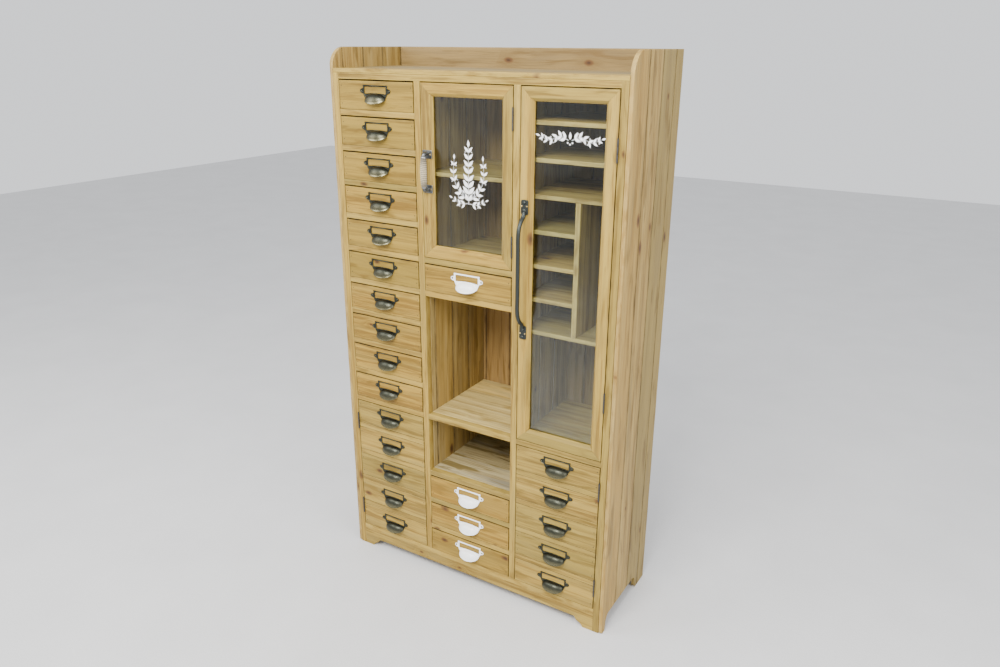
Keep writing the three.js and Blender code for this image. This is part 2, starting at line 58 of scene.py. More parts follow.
X, Y, Z = 0, 1, 2
MM = 0.001


def low(node):
    """Lowest corner of a solid, as an array."""
    return np.array(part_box(node)[0])


def high(node):
    """Highest corner of a solid, as an array."""
    return np.array(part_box(node)[1])


# Levels and edges of the carcass, all taken from the solids.
FRONT = low("face_frame")[Y]
BEHIND_FRAME = high("face_frame")[Y]
BACK = high("back_panel")[Y]
INNER = high("face_frame")[X]
OPENING_BOTTOM = high("bottom_board")[Z]
MID_LEVEL = high("niche_shelf")[Z]
FRAME_TOP = low("top_board")[Z]
TOP_FACE = high("top_board")[Z]
HEIGHT = high("side_panel_left")[Z]
RAIL = MID_LEVEL - low("niche_shelf")[Z]
UPPER_ROWS = 10
LOWER_ROWS = 5
ALL_ROWS = UPPER_ROWS + LOWER_ROWS
MIDDLE_DOOR_ROW = 5  # the lowest of the rows that the middle door covers
UPPER_PITCH = (FRAME_TOP - MID_LEVEL) / UPPER_ROWS
LOWER_PITCH = (MID_LEVEL - OPENING_BOTTOM) / LOWER_ROWS
STILE_EDGE = high("front_apron")[X]
COLUMNS = {
    "left": (-STILE_EDGE, low("divider_left")[X]),
    "middle": (high("divider_left")[X], low("divider_right")[X]),
    "right": (high("divider_right")[X], STILE_EDGE),
}

# Gaps round a door, as its solid has them.
GAP_LEFT = 1.8 * MM
GAP_RIGHT = 2.4 * MM
GAP_BELOW = 1.5 * MM
GAP_ABOVE = 2.7 * MM

# Workmanship that repeats.
SOFT_EDGE = 0.9 * MM
FRAME_EDGE = 0.8 * MM
GLUED_EDGE = 0.35 * MM
CUT_END = 0.3 * MM
BRAD_RADIUS = 1.6 * MM
BRAD_HEIGHTS = (0.2, 0.8)  # as shares of a drawer front's height
PAINT_DEPTH = 0.25 * MM
PAINT_RIM = 0.08 * MM


def row_bottom(row):
    """Top of the rail below a row. Rows are numbered from 1 at the top."""
    if row > UPPER_ROWS:
        return OPENING_BOTTOM + (ALL_ROWS - row) * LOWER_PITCH
    return MID_LEVEL + (UPPER_ROWS - row) * UPPER_PITCH


def row_top(row):
    """Underside of the rail above a row."""
    return row_bottom(row) + (LOWER_PITCH if row > UPPER_ROWS else UPPER_PITCH) - RAIL


def measure(name, description, millimetres):
    """A length property, with its default in millimetres."""
    return bpy.props.FloatProperty(
        name=name, description=description, default=millimetres * MM, unit="LENGTH"
    )


class CabinetSizes(bpy.types.PropertyGroup):
    """Sizes that belong to the workmanship and the fittings."""

    edge: measure("Edge rounding", "Radius of the worn edges of a board", 1.1)
    joint: measure("Board joint", "Radius of the V along a tongued joint", 2.4)
    board: measure("Board width", "Width of a tongued board between its joints", 98)
    member: measure("Door member", "Width of the frame round a pane", 38)
    bevel: measure("Sight bevel", "Width of the bevel next to the glass", 9)
    pull_width: measure("Pull width", "Width of a pull from ear to ear", 115)
    cup_reach: measure("Cup reach", "How far a pull's cup stands out", 22)
    bar: measure("Iron bar", "Thickness of the iron handle's bar", 12)
    turns: bpy.props.IntProperty(
        name="Cord turns",
        description="Turns of cord round the middle door's handle",
        default=16,
    )


def colour(name, description, default):
    """A colour property."""
    return bpy.props.FloatVectorProperty(
        name=name, description=description, default=default, subtype="COLOR", min=0, max=1
    )


class CabinetColours(bpy.types.PropertyGroup):
    """Colours of the finishes."""

    front: colour("Front wood", "Early wood of the boards in front", (0.356, 0.236, 0.046))
    drawer: colour("Drawer wood", "Early wood of the drawer fronts", (0.350, 0.215, 0.032))
    side: colour("Side wood", "Early wood of the side boards", (0.352, 0.232, 0.065))
    inside: colour("Inside wood", "Early wood of the boards inside", (0.285, 0.180, 0.062))
    divider: colour("Divider wood", "Early wood of the inner uprights", (0.385, 0.270, 0.090))
    shelf: colour("Shelf wood", "Early wood of the shelves", (0.46, 0.325, 0.105))
    niche: colour("Niche wood", "Early wood of the shelves in the niches", (0.55, 0.415, 0.150))
    low_niche: colour("Low niche floor", "Early wood of the low niche", (0.385, 0.315, 0.158))
    top: colour("Top wood", "Early wood of the top board", (0.315, 0.218, 0.085))
    pewter: colour("Pewter", "Patina of the pulls", (0.046, 0.048, 0.036))
    polish: colour("Polished cup", "Rubbed metal on the cups", (0.175, 0.160, 0.090))
    enamel: colour("Enamel", "White enamel of the middle pulls", (0.98, 0.98, 0.975))
    iron: colour("Iron", "Forged iron of the long handle", (0.048, 0.054, 0.050))
    cord: colour("Cord", "Cotton cord of the short handle", (0.60, 0.50, 0.32))
    paint: colour("Paint", "White paint of the ornament on the glass", (0.97, 0.97, 0.97))


# ---------------------------------------------------------------------------------------------------------
# Surfaces
# ---------------------------------------------------------------------------------------------------------
HASH_WEIGHTS = (12.9898, 78.233, 37.719, 4.581)
HASH_SHIFT = 1.7
HASH_STEEPNESS = 43758.5453


def chance(*key):
    """A number between 0 and 1 that depends only on the numbers given: the fraction of a steep sine."""
    mixed = sum(k * weight for k, weight in zip(key, HASH_WEIGHTS)) + HASH_SHIFT
    return (math.sin(mixed) * HASH_STEEPNESS) % 1.0


def seed_of(name):
    """A small number that stands for a name: its letters weighted by place, folded at a prime."""
    return sum((i + 1) * ord(c) for i, c in enumerate(name)) % 997 / 31.0


def quarter_arc():
    """Angles of the four points on a rounded edge."""
    return np.radians([0, 30, 60, 90])


class Shell:
    """Closed grids of points gathered into one mesh, with the values that the finishes read.

    grain runs along, across and through a board, tone tells boards apart, wear is 1 on a rubbed edge, and
    crease is 1 in a gap or a joint, where the finishes darken the wood with painted shade and grime. On the
    cord, wear says how far the surface stands out, and its low values in the grooves are painted shade.
    """

    def __init__(self):
        self.points, self.faces, self.slots = [], [], []
        self.grain, self.tone, self.wear, self.crease = [], [], [], []
        self.count = 0

    def add(self, points, ends="pair", grain=None, tone=0.5, wear=None, crease=None, slot=0):
        """Adds a grid whose columns go round. ends closes its first and last rows.

        pair joins each point of an end row with its opposite, pole joins an end row to its middle, and loop
        joins the last row to the first. The faces are turned so that the volume they shut in is positive.
        """
        rows, columns = points.shape[:2]
        flat = points.reshape(-1, 3)
        index = np.arange(rows * columns).reshape(rows, columns)
        below = index if ends == "loop" else index[:-1]
        above = np.roll(index, -1, axis=0) if ends == "loop" else index[1:]
        quads = np.stack(
            [below, np.roll(below, -1, axis=1), np.roll(above, -1, axis=1), above], axis=-1
        ).reshape(-1, 4)
        faces = [quads]
        if ends == "pair":
            half = columns // 2
            j = np.arange(half - 1)
            for row, flip in ((index[0], True), (index[-1], False)):
                cap = np.stack([row[j], row[j + 1], row[columns - 2 - j], row[columns - 1 - j]], axis=-1)
                faces.append(cap[:, ::-1] if flip else cap)
        extra = np.zeros((0, 3))
        if ends == "pole":
            extra = np.array([points[0].mean(axis=0), points[-1].mean(axis=0)])
            first = rows * columns
            for row, pole, flip in ((index[0], first, True), (index[-1], first + 1, False)):
                fan = np.stack([row, np.roll(row, -1), np.full(columns, pole)], axis=-1)
                faces.append(fan[:, ::-1] if flip else fan)
        every_point = np.concatenate([flat, extra])
        if self.volume(every_point, faces) < 0:
            faces = [f[:, ::-1] for f in faces]
        number = len(every_point)
        self.points.append(every_point)
        self.faces.extend((f + self.count) for f in faces)
        self.slots.extend(np.full(len(f), slot) for f in faces)
        self.grain.append(self.filled(grain, number, 3, every_point))
        self.tone.append(np.full(number, tone, dtype=float))
        self.wear.append(self.filled(wear, number, 0, 0.0))
        self.crease.append(self.filled(crease, number, 0, 0.0))
        self.count += number

    @staticmethod
    def volume(points, faces):
        """Volume shut in by the faces: a sixth of the sum of each triangle's triple product."""
        total = 0.0
        for f in faces:
            for k in range(2, f.shape[1]):
                a, b, c = points[f[:, 0]], points[f[:, k - 1]], points[f[:, k]]
                total += np.einsum("ij,ij->", a, np.cross(b, c)) / 6
        return total

    @staticmethod
    def filled(values, number, width, spare):
        """One value for each point: those given for the grid, then the spare one for its poles."""
        shape = (number, width) if width else (number,)
        out = np.empty(shape)
        out[:] = spare
        if values is not None:
            given = np.asarray(values, dtype=float).reshape((-1, width) if width else -1)
            out[: len(given)] = given
            out[len(given) :] = given.mean(axis=0)
        return out

    def place(self, name, body, finishes, slot, stands_for=(), smooth=40):
        """Makes the mesh, sets its finishes and puts it on its body."""
        mesh = bpy.data.meshes.new(name)
        faces = [face for group in self.faces for face in group.tolist()]
        mesh.from_pydata(np.concatenate(self.points).tolist(), [], faces)
        for finish in finishes:
            mesh.materials.append(finish)
        mesh.polygons.foreach_set("material_index", np.concatenate(self.slots).astype(np.int32))
        for label, kind, values in (
            ("grain", "FLOAT_VECTOR", self.grain),
            ("tone", "FLOAT", self.tone),
            ("wear", "FLOAT", self.wear),
            ("crease", "FLOAT", self.crease),
        ):
            layer = mesh.attributes.new(label, kind, "POINT")
            field = "vector" if kind == "FLOAT_VECTOR" else "value"
            layer.data.foreach_set(field, np.concatenate(values).astype(np.float32).ravel())
        mesh.shade_smooth()
        mesh.set_sharp_from_angle(angle=math.radians(smooth))
        mesh.validate()
        piece = bpy.data.objects.new(name, mesh)
        bpy.context.scene.collection.objects.link(piece)
        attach(piece, body)
        if stands_for:
            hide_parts(*stands_for)
        return piece


def ripple(values, seed):
    """A smooth wobble between -1 and 1 along a length: three sines of unlike pitch, averaged."""
    a, b, c = (chance(seed, k) * math.tau for k in (1, 2, 3))
    return (np.sin(values * 31 + a) + np.sin(values * 73 + b) + np.sin(values * 167 + c)) / 3


def board(
    shell,
    axes,
    u,
    v,
    w,
    seed,
    radius=None,
    front=None,
    back=None,
    start=None,
    stop=None,
    samples=(),
    ends=None,
    slot=0,
    step=0.05,
    dark=(0.0, 0.0, 0.0),
):
    """Adds one board: a round-cornered section carried along its length.

    The section lies across u, the width, and v, the thickness. A corner's points are the board's corner
    plus the radius times one less the cosine or sine of their angle, and the radius wobbles along the
    length w as worn wood does. Near each end the section shrinks on a quarter circle. front, back, start
    and stop are functions of u that move the two faces and the two ends, which gives bevels, rebates,
    mitres and shaped feet. samples are extra places across u. dark says how strongly painted shade and
    grime darken the lower edge, the upper edge and the ends.
    """
    sizes = bpy.context.scene.cabinet_sizes
    radius = sizes.edge if radius is None else radius
    ends = radius if ends is None else ends
    arc = quarter_arc()
    hold = min((9 if max(dark) else 4) * MM, (u[1] - u[0]) / 3)
    kept = [s for s in samples if u[0] + radius < s < u[1] - radius]
    middle = np.unique(np.round([u[0] + hold, u[1] - hold, *kept], 6))
    flat = np.zeros(len(middle))
    along_u = np.concatenate([np.full(len(arc), u[0]), middle, np.full(len(arc), u[1])])
    push_u = np.concatenate([1 - np.cos(arc), flat, -(1 - np.cos(arc))[::-1]])
    push_v = np.concatenate([1 - np.sin(arc), flat, (1 - np.sin(arc))[::-1]])
    edge = np.concatenate([[1, 1, 1, 0.8], flat, [0.8, 1, 1, 1]])
    lead = np.concatenate([ends * (1 - np.cos(arc)), [ends + 4 * MM]])
    length = w[1] - w[0]
    count = max(2, int(length / step) + 1)
    span = np.linspace(0, 1, count + 1)[1:-1] * (length - 2 * lead[-1]) + lead[-1]
    run = np.concatenate([lead, span, length - lead[::-1]])
    shrink = ends * (1 - np.sin(arc))
    inset = np.concatenate([shrink, np.zeros(len(span) + 2), shrink[::-1]])
    end_wear = np.concatenate([[1, 1, 1, 0.6, 0], np.zeros(len(span)), [0, 0.6, 1, 1, 1]])
    worn = radius * (1 + 0.45 * ripple(run + w[0], seed))[:, None]
    across = along_u[None, :] + push_u[None, :] * worn
    rise_front = front(along_u) if front else np.zeros_like(along_u)
    rise_back = back(along_u) if back else np.zeros_like(along_u)
    near = v[0] + rise_front[None, :] + push_v[None, :] * worn
    far = v[1] + rise_back[None, :] - push_v[None, :] * worn
    centre = (u[0] + u[1]) / 2
    narrow = 1 - inset[:, None] / ((u[1] - u[0]) / 2)
    across = centre + (across - centre) * narrow
    near = near + inset[:, None]
    far = far - inset[:, None]
    low_end = w[0] + (start(across) if start else 0)
    high_end = w[1] + (stop(across) if stop else 0)
    from_start = np.where(run < length / 2, run, 0)[:, None]
    from_stop = np.where(run < length / 2, 0, length - run)[:, None]
    blend = ((run - lead[-1]) / max(length - 2 * lead[-1], 1e-6))[:, None]
    a = low_end + lead[-1]
    b = high_end - lead[-1]
    lengthwise = a + (b - a) * blend
    near_start = (run < lead[-1])[:, None]
    near_stop = (run > length - lead[-1])[:, None]
    lengthwise = np.where(near_start, low_end + from_start, lengthwise)
    lengthwise = np.where(near_stop, high_end - from_stop, lengthwise) + np.zeros_like(across)
    grid = np.empty((len(run), 2 * len(along_u), 3))
    halves = ((across, across), (near, far), (lengthwise, lengthwise))
    for axis, (one, other) in zip(axes, halves):
        grid[:, :, axis] = np.concatenate([one, other[:, ::-1]], axis=1)
    shift = [chance(seed, 5) * 9, (chance(seed, 6) - 0.5) * 0.16, chance(seed, 7) * 0.05]
    grain = np.empty_like(grid)
    grain[:, :, 0] = grid[:, :, axes[2]] + shift[0]
    grain[:, :, 1] = grid[:, :, axes[0]] - centre + shift[1]
    grain[:, :, 2] = grid[:, :, axes[1]] - v[0] + shift[2]
    wear = np.maximum(np.concatenate([edge, edge[::-1]])[None, :], end_wear[:, None])
    # crease carries painted shade and grime: the edges and ends named in dark are darkened, fading over the
    # rounding.
    fade = np.array([1, 1, 0.8, 0.4] if radius > 1.5 * MM else [1, 0.8, 0.4, 0.2])
    sides = np.concatenate([fade * dark[0], flat, fade[::-1] * dark[1]])
    tips = dark[2] * np.concatenate([fade, np.zeros(len(span) + 2), fade[::-1]])
    crease = np.maximum(np.concatenate([sides, sides[::-1]])[None, :], tips[:, None])
    shell.add(grid, "pair", grain=grain, tone=chance(seed, 8), wear=wear, crease=crease, slot=slot)


UPRIGHT = (X, Y, Z)  # width across x, thickness through y, length up z
LYING = (Z, Y, X)  # width up z, thickness through y, length across x
SHELF = (Y, Z, X)  # width from front to back, thickness up z, length across x
SIDE = (Y, X, Z)  # width from front to back, thickness through x, length up z
RUNNING = (Z, X, Y)  # width up z, thickness through x, length from front to back


NARROWEST_BOARD = 12 * MM


def cuts(start, stop, first, width):
    """Places where a panel is cut into boards: its two edges and every joint between them."""
    joints = [start]
    place = start + first
    while place < stop - NARROWEST_BOARD:
        joints.append(place)
        place += width
    return joints + [stop]


def catmull(points, number):
    """Points along a smooth curve through the given ones: the Catmull-Rom cubic on each stretch."""
    p = np.asarray(points, dtype=float)
    p = np.concatenate([[2 * p[0] - p[1]], p, [2 * p[-1] - p[-2]]])
    t = np.linspace(0, len(p) - 3 - 1e-9, number)
    i = t.astype(int)
    f = (t - i)[:, None]
    a, b, c, d = p[i], p[i + 1], p[i + 2], p[i + 3]
    square = 2 * a - 5 * b + 4 * c - d
    cube = 3 * b - a - 3 * c + d
    return 0.5 * (2 * b + (c - a) * f + square * f**2 + cube * f**3)


def softened(outline, rounds=3):
    """A closed outline with its corners cut: each side keeps its middle half, a few times over."""
    p = np.asarray(outline, dtype=float)
    for _ in range(rounds):
        q = np.roll(p, -1, axis=0)
        p = np.stack([0.75 * p + 0.25 * q, 0.25 * p + 0.75 * q], axis=1).reshape(-1, 2)
    return p


def along_outline(outline, number):
    """Evenly spaced points along a closed outline."""
    closed = np.concatenate([outline, outline[:1]])
    step = np.linalg.norm(np.diff(closed, axis=0), axis=1)
    place = np.concatenate([[0], np.cumsum(step)])
    t = np.linspace(0, place[-1], number, endpoint=False)
    return np.stack([np.interp(t, place, closed[:, k]) for k in (0, 1)], axis=1)


def reach_at(outline, centre, angles):
    """Distance from a centre to a star-shaped outline at each angle."""
    arm = outline - centre
    angle = np.arctan2(arm[:, 1], arm[:, 0])
    order = np.argsort(angle)
    size = np.hypot(arm[:, 0], arm[:, 1])
    angle, size = angle[order], size[order]
    angle = np.concatenate([angle - math.tau, angle, angle + math.tau])
    return np.interp(angles, angle, np.concatenate([size] * 3))


def slab(shell, outline, depth, at, rim=0.8 * MM, slot=0, wear=0.3):
    """Adds a thin plate in the x-z plane: an outline shrunk on a quarter circle at each face."""
    centre = outline.mean(axis=0)
    arm = outline - centre
    size = np.linalg.norm(arm, axis=1).max()
    arc = quarter_arc()
    shrink = rim * (1 - np.sin(arc))
    inset = np.concatenate([[size * 0.5], shrink, shrink[::-1], [size * 0.5]])
    cut = rim * (1 - np.cos(arc))
    place = np.concatenate([[0], cut, depth - cut[::-1], [depth]])
    scale = 1 - inset / size
    grid = np.empty((len(place), len(outline), 3))
    grid[:, :, X] = at[0] + centre[0] + arm[None, :, 0] * scale[:, None]
    grid[:, :, Z] = at[2] + centre[1] + arm[None, :, 1] * scale[:, None]
    grid[:, :, Y] = at[1] - place[:, None]
    marks = np.repeat(np.array([0, wear, 1, 1, 1, 1, 1, 1, wear, 0])[:, None], len(outline), axis=1)
    shell.add(grid, "pole", wear=marks, slot=slot)


def screw(shell, at, radius, height, turn=0.4, slot=0, slotted=True):
    """Adds a round screw head facing the front: a dome in rings and spokes with a groove across it.

    Its height falls off as the square root of one less the radius squared, and the groove is a narrow bell.
    """
    ring = np.concatenate([[1.0], np.sin(np.linspace(math.pi / 2, 0.12, 7))])
    spoke = np.linspace(0, math.tau, 24, endpoint=False)
    dome = np.sqrt(np.clip(1 - ring**2, 0, 1))
    dome[0] = -0.5
    r, a = np.meshgrid(ring, spoke, indexing="ij")
    offset = r * np.sin(a - turn)
    groove = 0.55 * np.exp(-((offset / 0.17) ** 2)) * np.clip(dome[:, None] * 2, 0, 1) * slotted
    grid = np.empty((len(ring), len(spoke), 3))
    grid[:, :, X] = at[0] + radius * r * np.cos(a)
    grid[:, :, Z] = at[2] + radius * r * np.sin(a)
    grid[:, :, Y] = at[1] - height * (dome[:, None] - groove)
    shell.add(grid, "pole", wear=np.clip(1 - r, 0, 1), slot=slot)


def brad(shell, at):
    """Adds the sunk head of a small nail: a shallow cone with a few sides."""
    ring = np.array([1.0, 1.0, 0.6])[:, None]
    spoke = np.linspace(0, math.tau, 10, endpoint=False)
    grid = np.empty((3, 10, 3))
    grid[:, :, X] = at[0] + BRAD_RADIUS * ring * np.cos(spoke)
    grid[:, :, Z] = at[2] + BRAD_RADIUS * ring * np.sin(spoke)
    grid[:, :, Y] = at[1] + np.array([0.4, -0.1, -0.2])[:, None] * MM
    shell.add(grid, "pole", slot=2)


def brads(shell, places, face, bottom, top):
    """Adds two brads near each end of a drawer front."""
    for x in places:
        for share in BRAD_HEIGHTS:
            brad(shell, (x, face, bottom + (top - bottom) * share))


def rod(shell, path, radius, sides=20, slot=0, twist=None):
    """Adds a round bar along a path in the y-z plane: circles square to the path's direction.

    twist, where it is given, is the share of the radius at a step along the path and an angle round it.
    """
    path = np.asarray(path, dtype=float)
    heading = np.gradient(path, axis=0)
    heading /= np.linalg.norm(heading, axis=1)[:, None]
    across = np.array([1.0, 0.0, 0.0])
    out = np.cross(heading, across)
    out /= np.linalg.norm(out, axis=1)[:, None]
    a = np.linspace(0, math.tau, sides, endpoint=False)
    size = np.broadcast_to(np.asarray(radius, dtype=float).reshape(-1, 1), (len(path), 1))
    if twist is not None:
        size = size * twist(np.arange(len(path))[:, None], a[None, :])
    else:
        size = np.repeat(size, sides, axis=1)
    grid = path[:, None, :] + size[:, :, None] * (
        np.cos(a)[None, :, None] * across + np.sin(a)[None, :, None] * out[:, None, :]
    )
    place = np.concatenate([[0], np.cumsum(np.linalg.norm(np.diff(path, axis=0), axis=1))])
    grain = np.empty_like(grid)
    grain[:, :, 0] = place[:, None]
    grain[:, :, 1] = np.cos(a)[None, :] * size
    grain[:, :, 2] = np.sin(a)[None, :] * size
    relief = size / size.max()
    # wear grows with how far the surface stands out: rubbed high points on metal, and on the cord the mask of
    # the painted shade in its grooves.
    shell.add(grid, "pole", grain=grain, wear=relief**4, slot=slot)


# ---------------------------------------------------------------------------------------------------------
# Finishes
# ---------------------------------------------------------------------------------------------------------
class Value:
    """A socket in a material. Arithmetic on it adds Math nodes."""

    def __init__(self, finish, socket):
        self.finish = finish
        self.socket = socket

    def __add__(self, other):
        return self.finish.math("ADD", self, other)

    def __radd__(self, other):
        return self.finish.math("ADD", other, self)

    def __sub__(self, other):
        return self.finish.math("SUBTRACT", self, other)

    def __rsub__(self, other):
        return self.finish.math("SUBTRACT", other, self)

    def __mul__(self, other):
        return self.finish.math("MULTIPLY", self, other)

    def __rmul__(self, other):
        return self.finish.math("MULTIPLY", other, self)

    def __truediv__(self, other):
        return self.finish.math("DIVIDE", self, other)

    def __rtruediv__(self, other):
        return self.finish.math("DIVIDE", other, self)

    def __pow__(self, other):
        return self.finish.math("POWER", self, other)

    def __rpow__(self, other):
        return self.finish.math("POWER", other, self)


class Finish:
    """A material being made. node adds any shader node, and the rest are short names for the common ones."""

    def __init__(self, name):
        self.material = bpy.data.materials.new(name)
        self.material.use_nodes = True
        self.tree = self.material.node_tree
        self.tree.nodes.clear()

    def math(self, operation, *values):
        """The result of a Math node on values and numbers."""
        return self.out(self.node("Math", {"operation": operation}, dict(enumerate(values))))

    def node(self, kind, settings=None, inputs=None):
        """Adds a node of a kind, with its settings first and then the values or links of its sockets."""
        node = self.tree.nodes.new("ShaderNode" + kind)
        for key, value in (settings or {}).items():
            if key == "stops":
                self.set_stops(node, value)
            else:
                setattr(node, key, value)
        for key, value in (inputs or {}).items():
            self.feed(node.inputs[key], value)
        return node

    @staticmethod
    def set_stops(node, stops):
        """Sets a ramp's stops, each a place and a colour."""
        elements = node.color_ramp.elements
        while len(elements) < len(stops):
            elements.new(0.5)
        for element, (place, tint) in zip(elements, stops):
            element.position = place
            element.color = (*tint, 1)

    def feed(self, socket, value):
        """Links a value to a socket, or sets the socket's own number or colour."""
        if isinstance(value, Value):
            self.tree.links.new(value.socket, socket)
        elif socket.type == "RGBA" and len(value) == 3:
            socket.default_value = (*value, 1)
        else:
            socket.default_value = value

    def out(self, node, key=0):
        """A node's output as a value."""
        return Value(self, node.outputs[key])

    def attribute(self, name, key="Fac"):
        """An attribute of the mesh."""
        return self.out(self.node("Attribute", {"attribute_name": name}), key)

    def parts(self, vector):
        """The three numbers of a vector."""
        node = self.node("SeparateXYZ", inputs={0: vector})
        return [self.out(node, k) for k in range(3)]

    def vector(self, x, y, z):
        """A vector from three numbers."""
        return self.out(self.node("CombineXYZ", inputs={0: x, 1: y, 2: z}))

    def noise(self, vector, scale=1.0, detail=2.0, rough=0.5, warp=0.0):
        """Noise between 0 and 1 over a vector."""
        inputs = {
            "Vector": vector, "Scale": scale, "Detail": detail, "Roughness": rough, "Distortion": warp,
        }
        return self.out(self.node("TexNoise", inputs=inputs), "Fac")

    def between(self, value, start, stop):
        """0 below start and 1 above stop, and smooth between."""
        settings = {"interpolation_type": "SMOOTHSTEP"}
        inputs = {"Value": value, "From Min": start, "From Max": stop}
        return self.out(self.node("MapRange", settings, inputs), "Result")

    def mix(self, share, one, other, blend="MIX"):
        """A mix of two colours."""
        settings = {"data_type": "RGBA", "blend_type": blend, "clamp_factor": True}
        return self.out(self.node("Mix", settings, {0: share, 6: one, 7: other}), 2)

    def bump(self, height, distance, strength=1.0):
        """A normal from a height."""
        inputs = {"Height": height, "Distance": distance, "Strength": strength}
        return self.out(self.node("Bump", inputs=inputs))

    def shader(self, **inputs):
        """Ends the material in a Principled shader with these inputs, named with _ for a space."""
        named = {key.replace("_", " "): value for key, value in inputs.items()}
        node = self.node("BsdfPrincipled", inputs=named)
        self.node("OutputMaterial", inputs={0: self.out(node)})
        return self.material


def toned(tint, *shares):
    """A colour whose channels are each times a share. One share stands for all three."""
    return [c * s for c, s in zip(tint, shares * 3 if len(shares) == 1 else shares)]


LATE_WOOD = 0.50
RINGS_PER_METRE = 190
HEART_ASIDE = 0.015
HEART_BEHIND = 0.05
KNOT_BROWN = (0.105, 0.040, 0.012)
KNOT_HEART = (0.030, 0.014, 0.007)
SHADE_AND_GRIME = (0.024, 0.014, 0.006)


def wood(name, early, dullness=0.60, knots=0.46, dirt=0.6, lines=0.42, streaks=4.5, on_object=False):
    """Old fir: growth rings cut by the board's faces, flowing round knots, over fine fibres.

    The rings are circles round a far-off heart, whose radius wanders along the board. Each ring darkens
    slowly to its late wood and ends sharply. A knot is the middle of a scattered cell, and bends the rings.
    Boards differ in hue by their tone, rubbed edges are pale, and gaps and joints are darkened by painted
    shade and grime. knots is the share of cells that hold one, dirt, lines and streaks are strengths, and
    on_object reads the object's own coordinates where a mesh carries no grain.
    """
    finish = Finish(name)
    if on_object:
        y, x, z = finish.parts(finish.out(finish.node("TexCoord"), "Object"))
    else:
        x, y, z = finish.parts(finish.attribute("grain", "Vector"))

    def figure(along, across, detail=2.0, rough=0.5, warp=0.0, shift=None):
        """Noise of one pitch along the grain and another across and through it."""
        place = x * along if shift is None else x * along + shift
        return finish.noise(finish.vector(place, y * across, z * across), 1.0, detail, rough, warp)

    cell = finish.vector(x * 4.4 + y * 0.4, y * 8.0, 0.0)
    scattered = finish.node("TexVoronoi", {"voronoi_dimensions": "2D"}, {"Vector": cell, "Scale": 1.0})
    distance = finish.out(scattered, "Distance")
    lot, size, _ = finish.parts(finish.out(scattered, "Color"))
    here = finish.math("LESS_THAN", lot, knots)
    radius = size * 0.075 + 0.034
    edge = distance + (figure(70, 90) - 0.5) * 0.022
    knot = here * (1 - finish.between(edge, radius * 0.6, radius * 1.2))
    core = here * (1 - finish.between(edge, radius * 0.15, radius * 0.7))
    pull = here * finish.math("EXPONENT", 0 - (distance / (radius * 2.6)) ** 2)
    wander = figure(1.7, 4.0) - 0.5
    waver = figure(9.0, 60.0) - 0.5
    heart = y - HEART_ASIDE + wander * 0.09
    deep = z + HEART_BEHIND
    radial = finish.math("SQRT", heart * heart + deep * deep) + pull * 0.011 + waver * 0.0026
    width = finish.noise(finish.vector(radial * 28, 0.0, 0.0), 1.0, 1.0) * 0.6 + 0.7
    turn = finish.math("FRACT", radial * RINGS_PER_METRE * width)
    ring = finish.between(turn, 0.2, 0.93) * (1 - finish.between(turn, 0.93, 1.0))
    fibre = figure(8, 230, 4.0, 0.65)
    fleck = figure(60, 1500)
    cloud = figure(2.4, 22, 4.0, 0.6)
    smear = figure(5.0, 40, 3.0, 0.6, 0.6, shift=31)
    streak = figure(1.2, 42, 4.0, 0.6)
    dark = toned(early, LATE_WOOD, LATE_WOOD * 0.88, LATE_WOOD * 0.74)
    warm = toned(early, 0.84, 0.75, 0.50)
    olive = toned(early, 0.80, 0.88, 0.88)
    grey = toned(early, 0.50, 0.54, 0.72)
    pale = [min(1.0, c) for c in toned(early, 1.22, 1.30, 1.6)]
    share = ring * lines + (streak - 0.47) * streaks + (fibre - 0.5) * 3.0
    body = finish.mix(finish.math("MAXIMUM", share, 0.0), early, dark)
    body = finish.mix(finish.between(streak - fibre * 0.3, 0.32, 0.16) * 0.55, body, pale)
    if not on_object:
        tone = finish.attribute("tone")
        body = finish.mix(finish.between(tone, 0.55, 1.2) * 0.7, body, warm)
        body = finish.mix(finish.between(tone, 0.45, -0.1) * 0.8, body, olive)
    body = finish.mix(finish.between(cloud, 0.48, 0.66) * dirt, body, grey)
    body = finish.mix(finish.between(smear, 0.52, 0.68) * dirt * 1.2, body, toned(warm, 0.5))
    body = finish.mix(finish.between(fleck, 0.60, 0.74) * 0.4, body, dark)
    body = finish.mix(pull * 0.45, body, toned(warm, 0.62))
    body = finish.mix(knot * 0.75, body, KNOT_BROWN)
    body = finish.mix(core * 0.7, body, KNOT_HEART)
    rough = dullness + (fibre - 0.5) * 0.18 - ring * 0.06 + (cloud - 0.5) * 0.12
    if not on_object:
        level = (tone - 0.5) * 0.30 + 1.06 + (cloud - 0.5) * 0.9
        body = finish.mix(1.0, body, finish.vector(level, level, level), "MULTIPLY")
        crease = finish.attribute("crease")
        rub = figure(22, 60)
        rubbed = (finish.attribute("wear") - crease) * finish.between(rub, 0.32, 0.66)
        body = finish.mix(rubbed * 0.55, body, pale)
        # Painted shade and grime: the crease mask darkens gaps and joints, patchily, towards a near-black
        # brown.
        shade_and_grime = crease * (finish.between(rub, 0.70, 0.30) * 0.5 + 0.5)
        body = finish.mix(shade_and_grime, body, SHADE_AND_GRIME)
        rough = rough + crease * 0.2
    relief = fibre * 0.5 + ring * 0.35 + fleck * 0.3 - knot * 0.4
    return finish.shader(
        Base_Color=body,
        Roughness=rough,
        Normal=finish.bump(relief, 0.00045, 0.55),
        Specular_IOR_Level=0.32,
        IOR=1.46,
    )


